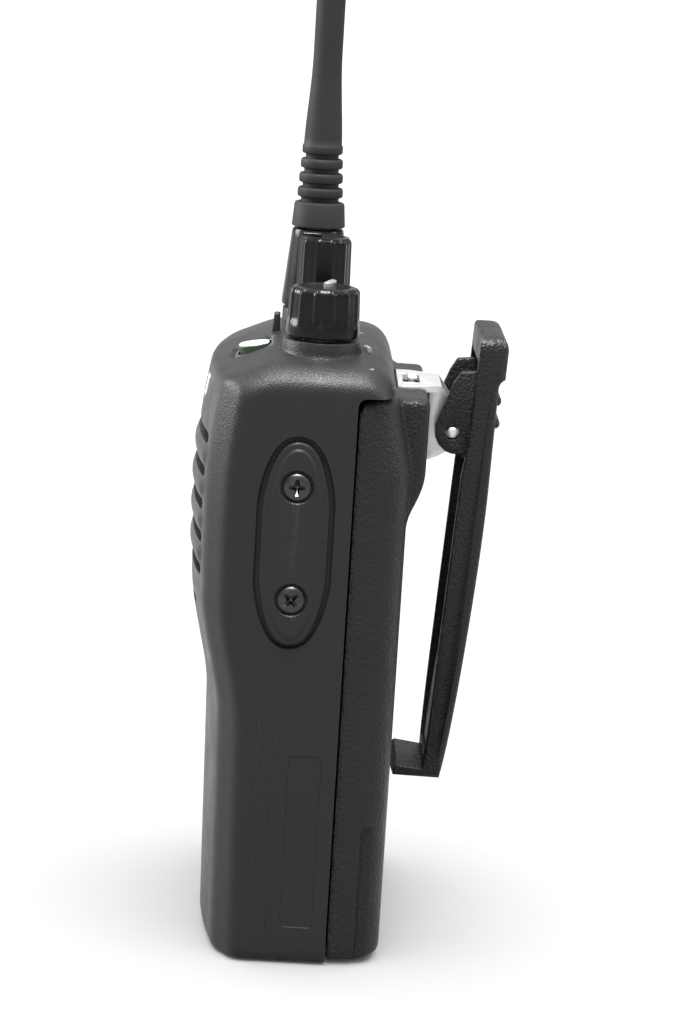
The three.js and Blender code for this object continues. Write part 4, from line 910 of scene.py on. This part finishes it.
def makeHousingTrim():
    # the badge plate: bowed with the front face, blank, with a fine raised border
    rows = []
    for lift, grow in ((0.5, 0), (-0.08, 0), (-0.22, -0.18), (-0.25, -0.5), (-0.1, -0.62)):
        rows.append([(a, float(frontAt(b)) + shell["crown"] * (a / 23) ** 2 + lift, b)
                for a, b in roundedRect(0, 90.5, 21 + 2 * grow, 3.6 + 2 * grow, 0.8, 5)])
    grid = loft("badge_plate", rows)
    finishPiece(grid, "radio", "badge_metal", "badge", angle=50)

    insert = onSlope("light_window", dishOutline, [(-1.0, -0.15), (-0.42, -0.15), (-0.36, -0.3)])
    window = subtract(insert, onSlope("lensHole", statusOutline, [(-7, 0.12), (1, 0.12)]))
    finishPiece(window, "radio", "knob_plastic", material=insertGloss)

    # a wedge, nearer level on top than the slope it stands in
    rows = [[slopePoint(x, y, -3.2) for x, y in statusOutline(0)]]
    for drop, grow in ((0.35, 0), (0.15, -0.05), (0.03, -0.18), (0, -0.4)):
        rows.append([(x, y, status["front"] + (y + 12.9) * status["lean"] - drop) for x,
                y in statusOutline(grow)])
    light = loft("status_light", rows)
    finishPiece(light, "radio", "lens_green", "status_lens", angle=50)


makeHousingTrim()

# ---- accessory cover and its screws ----
def makeCover():
    plate = acrossX("accessory_cap", coverOutline, [
            (27.4, -0.3), (27.6, 0), (28.22, 0), (28.36, -0.06), (28.46, -0.2), (28.5, -0.45),
            (28.52, -0.95), (28.6, -1.1),
            (28.72, -1.22), (28.79, -1.4), (28.8, -1.7),
        ])
    bores = []
    for z in cover["screws"]:
        bores.append(loft("bore", [[(x, cover["y"] + r * a, z + r * b) for a, b in circle(1, 48)]
                    for x, r in ((28.1, 2.45), (28.6, 2.5), (28.82, 2.72), (30, 3.4))]))
    subtract(plate, *bores)
    finishPiece(plate, "radio", "shell_plastic", "jack_cover", angle=16)

    def crossOutline(reach, width):
        w, points = width / 2, []
        for quarter in range(4):
            c, s = cos(quarter * pi / 2), sin(quarter * pi / 2)
            for a, b in ((reach, -w * 0.8), (reach, w * 0.8), (w * 1.35, w * 1.35)):
                points.append((a * c - b * s, a * s + b * c))
        return points

    head = loft("cap_screws", [[(x, r * a, r * b) for a, b in circle(1, 56)] for x, r in (
                (-6.5, 0.9), (-6.2, 1.2), (0.02, 1.2), (0.05, 2.05), (0.3, 2.16), (0.45, 2.14), (0.62, 2.0),
                (0.76, 1.7),
                (0.85, 1.35), (0.89, 0.8), (0.9, 0.3))])
    recess = loft("recess", [[(x, a, b) for a, b in crossOutline(reach, width)] for x, reach, width in (
                (0.12, 0.35, 0.2), (0.5, 1.0, 0.42), (0.95, 1.45, 0.62), (1.4, 1.8, 0.8))])
    subtract(head, recess)
    high, low = cover["screws"]
    screws = runTree(head, rowOfParts, Count=2, Start=(28.15 * mm, cover["y"] * mm, high * mm),
        Step=(0.0, 0.0, (low - high) * mm), Turn=(radians(-45), 0.0, 0.0),
        Material=finishes["screw_steel"])
    finishPiece(screws, "radio", "screw_steel", "jack_screw_upper", "jack_screw_lower", angle=30)


makeCover()
print("radio: cover and screws")

# ---- knobs ----
knobs = {
    # the volume pointer's light grey is a painted highlight
    "volume": {"x": 15, "y": 0.4, "r": 5.8, "low": 100.3, "high": 108.2, "flutes": 13, "hollow": 4.9,
        "bore": 2.5,
        "depth": 0.3, "ridge": 9.0, "pointer": 165, "pointerFinish": markPaint},
    "selector": {"x": 0, "y": 0.1, "r": 4.5, "low": 100.3, "high": 114.3, "flutes": 11, "hollow": 3.8,
        "bore": 2.0,
        "depth": 0.28, "ridge": 9.0, "pointer": -90, "pointerFinish": None},
}


def makeKnob(name, body, node, size):
    r, low, high = size["r"], size["low"], size["high"]
    rows = [(0, high - 0.3), (r * 0.45, high - 0.3), (r * 0.55, high - 0.26), (r * 0.62, high - 0.06),
        (r * 0.7, high)]
    rows += [(r * 0.7 + (r * 0.16) * t, high - 0.1 * t * t) for t in (0.33, 0.66, 1)]
    rows += [(r - 0.62, high - 0.22), (r - 0.45, high - 0.38), (r - 0.3, high - 0.6),
        (r - 0.22, high - 0.9)]
    rows += [(r - 0.2 + 0.2 * t, high - 1.2 + (low + 0.75 - high + 1.2) * t) for t in np.linspace(0, 1, 26)]
    rows += [(r - 0.02, low + 0.4), (r - 0.1, low + 0.15), (r - 0.3, low), (size["hollow"] + 0.1, low),
        (size["hollow"], low + 0.1), (size["hollow"], 102.4), (size["bore"], 102.5),
        (size["bore"], high - 1.4), (0, high - 1.4)]
    knob = turnedPiece(name, rows, size["x"], size["y"], size["flutes"] * 20)
    span = high - low
    knob = runTree(knob, fluteRound, Flutes=size["flutes"], Depth=size["depth"] * mm, Ridge=size["ridge"],
        Centre=(size["x"] * mm, size["y"] * mm, 0.0), Low=(low + span * 0.2) * mm, High=high * mm,
        Fade=span * 0.22 * mm, Inner=r * 0.8 * mm, Material=finishes["knob_plastic"])
    turn = radians(size["pointer"])
    c, s = cos(turn), sin(turn)
    loops = []
    for z, grow in ((high - 1.2, 0), (high + 0.3, 0), (high + 0.44, -0.1), (high + 0.5, -0.24)):
        plan = roundedRect(r * 0.5, 0, r * 0.72 + 2 * grow, 1.1 + 2 * grow, 0.3, 4)
        loops.append([(size["x"] + a * c - b * s, size["y"] + a * s + b * c, z) for a, b in plan])
    # painted highlight: the volume pointer takes the light grey; the selector pointer keeps the knob's own
    # finish
    finishPiece(loft(name + "_pointer", loops), body, "knob_plastic", material=size["pointerFinish"])
    finishPiece(knob, body, "knob_plastic", node, angle=36)


makeKnob("volume_dial", "volume", "volume_knob", knobs["volume"])
makeKnob("selector_dial", "selector", "selector_knob", knobs["selector"])
print("radio: knobs")

# ---- antenna ----
aerial = {
    "x": -15, "y": -1.2, "coneLow": 100.8, "coneTop": 113.8, "coneFoot": 5.5, "coneHead": 4.35, "bore": 3.5,
    "stud": 2.2,
    "low": 114.1, "collar": 4.2, "collarTop": 118.2, "ring": 3.55, "groove": 0.6, "rings": 4,
    "ringTop": 127.8,
    "neckTop": 142.8, "whip": 2.4, "tip": 249.8,
}


def makeAntenna():
    a = aerial
    cone = [(a["bore"], a["coneLow"]), (a["coneFoot"] - 0.4, a["coneLow"]),
        (a["coneFoot"] - 0.1, a["coneLow"] + 0.15),
        (a["coneFoot"], a["coneLow"] + 0.5)]
    cone += [(a["coneFoot"] + (a["coneHead"] - a["coneFoot"]) * t,
            a["coneLow"] + 0.5 + (a["coneTop"] - a["coneLow"] - 1) * t)
        for t in np.linspace(0, 1, 14)[1:]]
    cone += [(a["coneHead"] - 0.12, a["coneTop"] - 0.15), (a["coneHead"] - 0.4, a["coneTop"]),
        (a["stud"], a["coneTop"]),
        (a["stud"], 106.8), (a["bore"], 106.8)]
    sides = 80
    loops = [[(a["x"] + r * cos(2 * pi * i / sides), a["y"] + r * sin(2 * pi * i / sides), z)
            for i in range(sides)] for r, z in cone]
    sleeve = loft("antenna_cone", loops, closed=True)
    finishPiece(sleeve, "radio", "knob_plastic", "antenna_sleeve", angle=40)

    rows = [(0, a["low"] + 3.4), (a["stud"], a["low"] + 3.4), (a["stud"], a["low"]),
        (a["collar"] + 0.1, a["low"]),
        (a["collar"] + 0.28, a["low"] + 0.2), (a["collar"], a["collarTop"] - 0.35),
        (a["collar"] - 0.12, a["collarTop"] - 0.1),
        (a["collar"] - 0.35, a["collarTop"])]
    pitch = (a["ringTop"] - a["collarTop"]) / a["rings"]
    for i in range(a["rings"]):
        start, r = a["collarTop"] + i * pitch, a["ring"] + 0.25 - 0.14 * i
        rows += [(r - a["groove"], start + 0.04), (r - a["groove"] - 0.04, start + pitch * 0.16),
            (r - a["groove"], start + pitch * 0.3), (r - 0.1, start + pitch * 0.38),
            (r, start + pitch * 0.46),
            (r, start + pitch * 0.82), (r - 0.08, start + pitch * 0.93), (r - 0.2, start + pitch)]
    base, top = a["ring"] - 0.38, a["whip"]
    rows += [(base + (top - base) * ramp(t) ** 0.8, a["ringTop"] + (a["neckTop"] - a["ringTop"]) * t)
        for t in np.linspace(0, 1, 16)[1:]]
    rows += [(top, a["neckTop"] + 30), (top, a["neckTop"] + 70), (top, a["tip"] - top)]
    rows += [(top * cos(t), a["tip"] - top + top * sin(t)) for t in np.linspace(0, pi / 2, 8)[1:]]
    rod = turnedPiece("antenna_rod", rows, a["x"], a["y"], 72)
    finishPiece(rod, "radio", "antenna_rubber", "antenna_whip", angle=34)


makeAntenna()
print("radio: antenna")

# ---- keys on the far side ----
def makeKeys():
    names = {"ptt": ("ptt_pad", "ptt", "ptt_button"), "upper": ("key_upper", "upper_key", "upper_side_key"),
        "lower": ("key_lower", "lower_key", "lower_side_key")}
    for which, (name, body, node) in names.items():
        z, height, width, corner = keys["places"][which]
        cap = acrossX(name, lambda grow: keyOutline(which, grow), [
                (-24.9, 0.9), (-25.7, 0.9), (-25.71, 0), (-28.6, 0), (-28.95, -0.08), (-29.25, -0.3),
                (-29.42, -0.65),
                (-29.48, -1.1), (-29.42, -1.9)])
        count = 7 if which == "ptt" else 2
        ring = circle(0.32, 12)
        reach = width / 2 - 1.9
        grip = loft("grip", [[(a * s, y, b * s) for a, b in ring] for y, s in (
                    (-reach, 0.2), (-reach + 0.15, 0.8), (-reach + 0.4, 1), (reach - 0.4, 1),
                    (reach - 0.15, 0.8), (reach, 0.2))])
        step = 2.1 if which == "ptt" else 1.9
        grip = runTree(grip, rowOfParts, Count=count,
            Start=(-29.2 * mm, keys["y"] * mm, (z - step * (count - 1) / 2) * mm),
            Step=(0.0, 0.0, step * mm), Material=finishes["key_rubber"])
        gather(cap, grip)
        finishPiece(cap, body, "key_rubber", node, angle=40)


makeKeys()
print("radio: keys")

# ---- battery ----
pack = {
    "half": 27.3, "front": 6.8, "rear": 15.3, "low": 0.4, "high": 92.5, "slopeFrom": 80.8, "slopeIn": 2.5,
    "humpHalf": 18.5, "humpRear": 18, "humpTop": 91.4, "humpBend": 80.4, "humpFoot": 69.2,
    "grooveY": 12.2, "grooveWidth": 2.2, "grooveTop": 23.4, "grooveDepth": 1.05,
    "plate": (13.1, 20.2, 8.2, 5.8, 90.5), "lip": 0.75, "flat": 21.4, "sideTo": 11, "humpFall": 3.0,
    "humpFront": 10,
    "edge": {"side": 6.4, "end": 0.5, "rim": 1.7, "front": 0.35, "lip": 1.2, "hump": 1.3, "foot": 0.9},
}


def packForm(x, y, z):
    ax, edge, diagonal = np.abs(x), pack["edge"], 0.7071
    rear = y - (pack["rear"] - pack["slopeIn"] * np.clip((z - pack["slopeFrom"]) / 11.2, 0, 1))
    body = softMax(ax - pack["half"], rear, edge["side"])
    ends = softMax(z - pack["high"], pack["low"] - z, edge["end"])
    form = softMax(softMax(body, ends, edge["rim"]), pack["front"] - y, edge["front"])
    lip = diagonal * ((pack["front"] + pack["lip"] - y) + (z - pack["high"]))
    form = softMax(form, lip, edge["lip"])
    fall = ramp((pack["humpBend"] - z) / (pack["humpBend"] - pack["humpFoot"]))
    humpBack = y - (pack["humpRear"] - pack["humpFall"] * fall ** 1.3)
    hump = softMax(softMax(ax - pack["humpHalf"], humpBack, edge["hump"]), z - pack["humpTop"],
        edge["hump"])
    hump = np.maximum(softMax(hump, pack["humpFront"] - y, edge["end"]),
        pack["humpFoot"] - pack["humpFall"] - z)
    return softMin(form, hump, edge["foot"])


def packPlan(z):
    half, hump, rear, flat, bend = (pack[key] for key in ("half", "humpHalf", "rear", "flat", "sideTo"))
    high, round_ = pack["humpRear"], 1.5
    right = [(x, pack["front"]) for x in np.linspace(0, half, 16)]
    right += [(half, y) for y in np.linspace(pack["front"], bend, 10)[1:]]
    right += quadratic((half, bend), (half, rear), (flat, rear), 14)
    right += [(x, rear) for x in np.linspace(flat, hump + 0.3, 7)[1:]]
    right += [(hump + 0.3 * (1 - t), rear + 2.7 * t) for t in np.linspace(0, 1, 9)[1:]]
    right += [(x, high) for x in np.linspace(hump, hump - round_, 6)[1:]]
    right += [(x, high) for x in np.linspace(hump - round_, 0, 16)[1:]]
    return right + [(-x, y) for x, y in reversed(right[1:-1])]


def makeBattery():
    levels = np.concatenate([np.arange(3, 66, 1.1), np.arange(66, 90.2, 0.5)])
    case = castSkin("pack_shell", packPlan, levels, (0, 11), packForm, 3.6, 3.2, (18, 12))
    half, front = pack["half"], pack["front"]
    cutters = [
        boxPiece("bay", (-24.2, front - 1, 4.8), (24.2, 13.8, 79.8)),
        boxPiece("lidSeat", (-25.8, front - 2, 4.4), (25.8, front + 1.7, 89.5)),
        boxPiece("catchNotch", (-8.5, front - 3, -1), (8.5, 10.4, 2.65)),
        boxPiece("tabSlot", (-2.6, 13.4, 88.9), (2.6, 16.6, 95)),
    ]
    y, width, head, deep = pack["grooveY"], pack["grooveWidth"], pack["grooveTop"], pack["grooveDepth"]
    for side in (-1, 1):
        cutters.append(acrossX("groove", lambda grow: roundedRect(y, head / 2 - 2, width + 2 * grow,
                    head + 4 + 2 * grow, 1.1 + grow),
                [(side * (half - deep), 0), (side * (half + 2), 0)]))
    front_, rear, wide, narrow, floor = pack["plate"]
    plan = [(-wide - 0.3, front_ - 0.3), (wide + 0.3, front_ - 0.3), (wide + 0.3, front_ + 2.2),
        (narrow + 0.3, rear),
        (-narrow - 0.3, rear), (-wide - 0.3, front_ + 2.2)]
    cutters.append(loft("plateSeat", [[(x, y, z) for x, y in plan] for z in (floor, 96)]))
    subtract(case, *cutters)
    finishPiece(case, "battery", "pack_plastic", "battery_case", angle=34)


makeBattery()
print("radio: battery")

# ---- belt clip ----
clip = {"y": 22.4, "z": 84.6, "half": 10.5, "head": 16.3, "tail": 59.6, "footTip": 15.95, "foot": 2.2,
    "wall": 1.7,
    "headRound": 2.8, "footHalf": 4.6, "tailCurve": 17, "rearEdge": 1.1, "frontEdge": 0.4, "pin": 0.85,
    "ear": (6.1, 7.6)}


def leverOutline():
    y, z, head, tail = clip["y"], clip["z"], clip["z"] + clip["head"], clip["z"] - clip["tail"]
    points = [(y + 3.4, head - 0.9)]
    points += quadratic(points[-1], (y + 3.5, head), (y + 4.4, head), 6)
    points += [(y + 6.2, head - 0.1)]
    points += quadratic(points[-1], (y + 8, head - 0.4), (y + 8, head - 2.4), 8)
    points += [(y + 7.8, z + 9.4)]
    points += quadratic(points[-1], (y + 6.7, z + 8.8), (y + 6.8, z + 7.4), 5)
    points += [(y + 6.4, z - 7)]
    points += quadratic(points[-1], (y + 6, z - 24), (y + 1.9, tail), 20)
    points += [(clip["footTip"] + 0.5, tail + 0.5), (clip["footTip"], tail + clip["foot"]),
        (clip["footTip"] + 1, tail + clip["foot"] + 0.5), (y - 1.2, tail + clip["foot"])]
    points += quadratic(points[-1], (y + 0.6, z - 26), (y + 1.7, z - 7), 20)
    return points + [(y + 2.1, z - 4), (y + 2.6, z)]


def leverBlank():
    # the side view swept across, its back edges rounded widely and its front edges finely; the tail narrows
    outline = leverOutline()
    rearFrom, rearTo = 8, 43
    w, tail = clip["half"], clip["z"] - clip["tail"]
    bend = [(w, tail + clip["tailCurve"])]
    bend += quadratic(bend[0], (w - 0.6, tail + 3), (clip["footHalf"], tail - 1), 18)
    heights, widths = [b for a, b in reversed(bend)], [a for a, b in reversed(bend)]
    area = sum(a * nb - na * b for (a, b), (na, nb) in zip(outline, outline[1:] + outline[:1]))
    loops = [[] for _ in range(12)]
    for i, (a, b) in enumerate(outline):
        (pa, pb), (na, nb) = outline[i - 1], outline[(i + 1) % len(outline)]
        along = Vector((na - pa, nb - pb)).normalized() * (1 if area > 0 else -1)
        r = clip["rearEdge"] if rearFrom <= i < rearTo else clip["frontEdge"]
        reach = float(np.interp(b, heights, widths))
        for k in range(6):
            turn = pi / 2 * k / 5
            back = r * (1 - cos(turn))
            place = (a - along.y * back, b + along.x * back)
            x = reach - r * (1 - sin(turn))
            loops[6 + k].append((x, *place))
            loops[5 - k].append((-x, *place))
    return loft("clip_arm", loops)


def leverBack(inset):
    # the lever from behind: rounded head corners, and a tail that curves in to the foot
    w, r = clip["half"] - inset, max(clip["headRound"] - inset, 0.5)
    head, tail = clip["z"] + clip["head"] - inset, clip["z"] - clip["tail"]
    right = [(clip["footHalf"] - inset, tail - 1)]
    right += quadratic(right[-1], (w - 0.6, tail + 3), (w, tail + clip["tailCurve"]), 18)
    right += [(w, head - r)] + quadratic((w, head - r), (w, head), (w - r, head), 10)
    return right + [(-a, b) for a, b in reversed(right)]


def rodX(name, y, z, levels, sides):
    # a round bar across, from (place, radius) pairs
    return loft(name, [[(x, y + a, z + b) for a, b in circle(r, sides)] for x, r in levels])


def makeClip():
    y, z, w = clip["y"], clip["z"], clip["half"]
    end = z - clip["tail"] + clip["foot"] + 2
    lever = leverBlank()
    meet(lever, loft("back", [[(a, depth, b) for a, b in leverBack(-0.02)] for depth in (0, 40)]))
    channel = [(y - 9, z - 9), (y + 3.6, z - 7), (y + 3.1, z - 22), (y + 0.6, z - 42), (y - 0.6, end),
        (y - 9, end)]
    hollow = loft("hollow", [[(x, a, b) for a, b in channel] for x in (-w, w)])
    meet(hollow, loft("back", [[(a, depth, b) for a, b in leverBack(clip["wall"])] for depth in (0, 40)]))
    pivotRoom = [(y - 9, z - 9.5), (y + 4, z - 9.5), (y + 4.2, z + 6), (y + 3.9, z + 12), (y - 9, z + 12)]
    room = loft("room", [[(x, a, b) for a, b in pivotRoom] for x in (-w + clip["wall"], w - clip["wall"])])
    subtract(lever, hollow, room)
    earOutline = [(5, 10.1), (2.9, 10.1), (0.8, 9.9), (-0.3, 8), (-1.2, 5.7), (-2.2, 3), (-2.9, 0.8),
        (-2.75, -0.9),
        (-2.15, -2.15), (-1, -3.2), (0, -3.55), (0.9, -3.6), (2.4, -4.2), (5, -4.2)]
    inner, outer = clip["ear"]
    ears = []
    for side in (-1, 1):
        ear = loft("ear", [[(side * x, y + a, z + b) for a, b in earOutline] for x in (inner, outer)])
        subtract(ear, rodX("bore", y, z, [(-w - 1, clip["pin"] + 0.3), (w + 1, clip["pin"] + 0.3)], 48))
        ears.append(soften(ear, 0.25, 3, 40))
    ring = circle(0.8, 16)
    rib = loft("rib", [[(x, a * s, b * s) for a, b in ring] for x, s in (
                (-w + 1.6, 0.1), (-w + 1.8, 0.6), (-w + 2.3, 0.95), (-w + 2.8, 1), (w - 2.8, 1),
                (w - 2.3, 0.95), (w - 1.8, 0.6), (w - 1.6, 0.1))])
    ribs = runTree(rib, rowOfParts, Count=2, Start=(0.0, (y + 6.7) * mm, (z + 1.9) * mm),
        Step=(0.0, 0.0, 3.7 * mm),
        Material=finishes["pack_plastic"])
    gather(lever, ribs, *ears)
    finishPiece(lever, "clip", "pack_plastic", "clip_lever", angle=30)

    for node, name, width in (("clip_bracket", "clip_plate", 0.22), ("clip_lock_tab", "clip_catch", 0.14)):
        finishPiece(soften(copyOf(node, name), width, 3, 50), "battery", "bracket_steel", node, angle=40)

    pin, w = clip["pin"], clip["ear"][1]
    axle = rodX("clip_axle", y, z, [(-w - 0.2, 0.3), (-w - 0.15, pin - 0.25), (-w, pin), (w, pin),
            (w + 0.15, pin - 0.25), (w + 0.2, 0.3)], 40)
    finishPiece(axle, "battery", "bracket_steel", "clip_pin", angle=50)

    bare = meshPiece("clip_coil", [(0, 0, 0)], [])
    coil = runTree(bare, windCoil, Turns=5.0, Radius=1.7 * mm, Length=6.0 * mm, Wire=0.38 * mm,
        Place=(-3.0 * mm, y * mm, z * mm), Material=finishes["can_steel"])
    finishPiece(coil, "battery", "can_steel", "clip_spring", angle=60)


makeClip()
print("radio: belt clip")

# ---- parts inside and underneath ----
def makeInner():
    softened = {
        # node: (piece, body, slot, edge)
        "chassis": ("cast_frame", "radio", "cast_alloy", 0.2),
        "battery_latch": ("latch_bar", "latch", "shell_plastic", 0.25),
        "battery_lid": ("pack_lid", "battery", "pack_plastic", 0.15),
        "shield_can": ("screen_can", "radio", "can_steel", 0.3),
    }
    for kind, name, body, width in (("contact", "pad", "battery", 0.12),
            ("terminal", "leaf", "radio", 0.15)):
        for pole in ("positive", "data", "negative"):
            softened[f"{kind}_{pole}"] = (f"{name}_{pole}", body, "contact_brass", width)
    for side in ("left", "right"):
        softened["battery_cell_" + side] = ("cell_" + side, "battery", "cell_metal", 0.9)
    for node, (name, body, slotName, width) in softened.items():
        finishPiece(soften(copyOf(node, name), width, 3, 40), body, slotName, node, angle=40)
    carried = {
        "seal_rubber": ("chassis_seal", "jack_gasket", "microphone_boot"),
        "screw_steel": ("chassis_screw_left", "chassis_screw_right"),
        "cloth": ("grille_cloth",),
        "cone_paper": ("speaker_cone",),
        "magnet_iron": ("speaker_magnet",),
        "board_laminate": ("main_board", "key_board", "battery_board"),
        "contact_brass": ("antenna_socket", "antenna_stud", "speaker_jack", "microphone_jack"),
        "can_steel": ("speaker_basket", "microphone", "volume_control", "volume_nut", "volume_shaft",
            "selector_switch",
            "selector_nut", "selector_shaft", "antenna_radiator", "ptt_switch", "upper_key_switch",
            "lower_key_switch", "latch_spring"),
    }
    for slotName, nodes in carried.items():
        for node in nodes:
            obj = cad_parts[node]
            obj.data.materials.clear()
            obj.data.materials.append(finishes[slotName])


makeInner()
print("radio: inner parts")
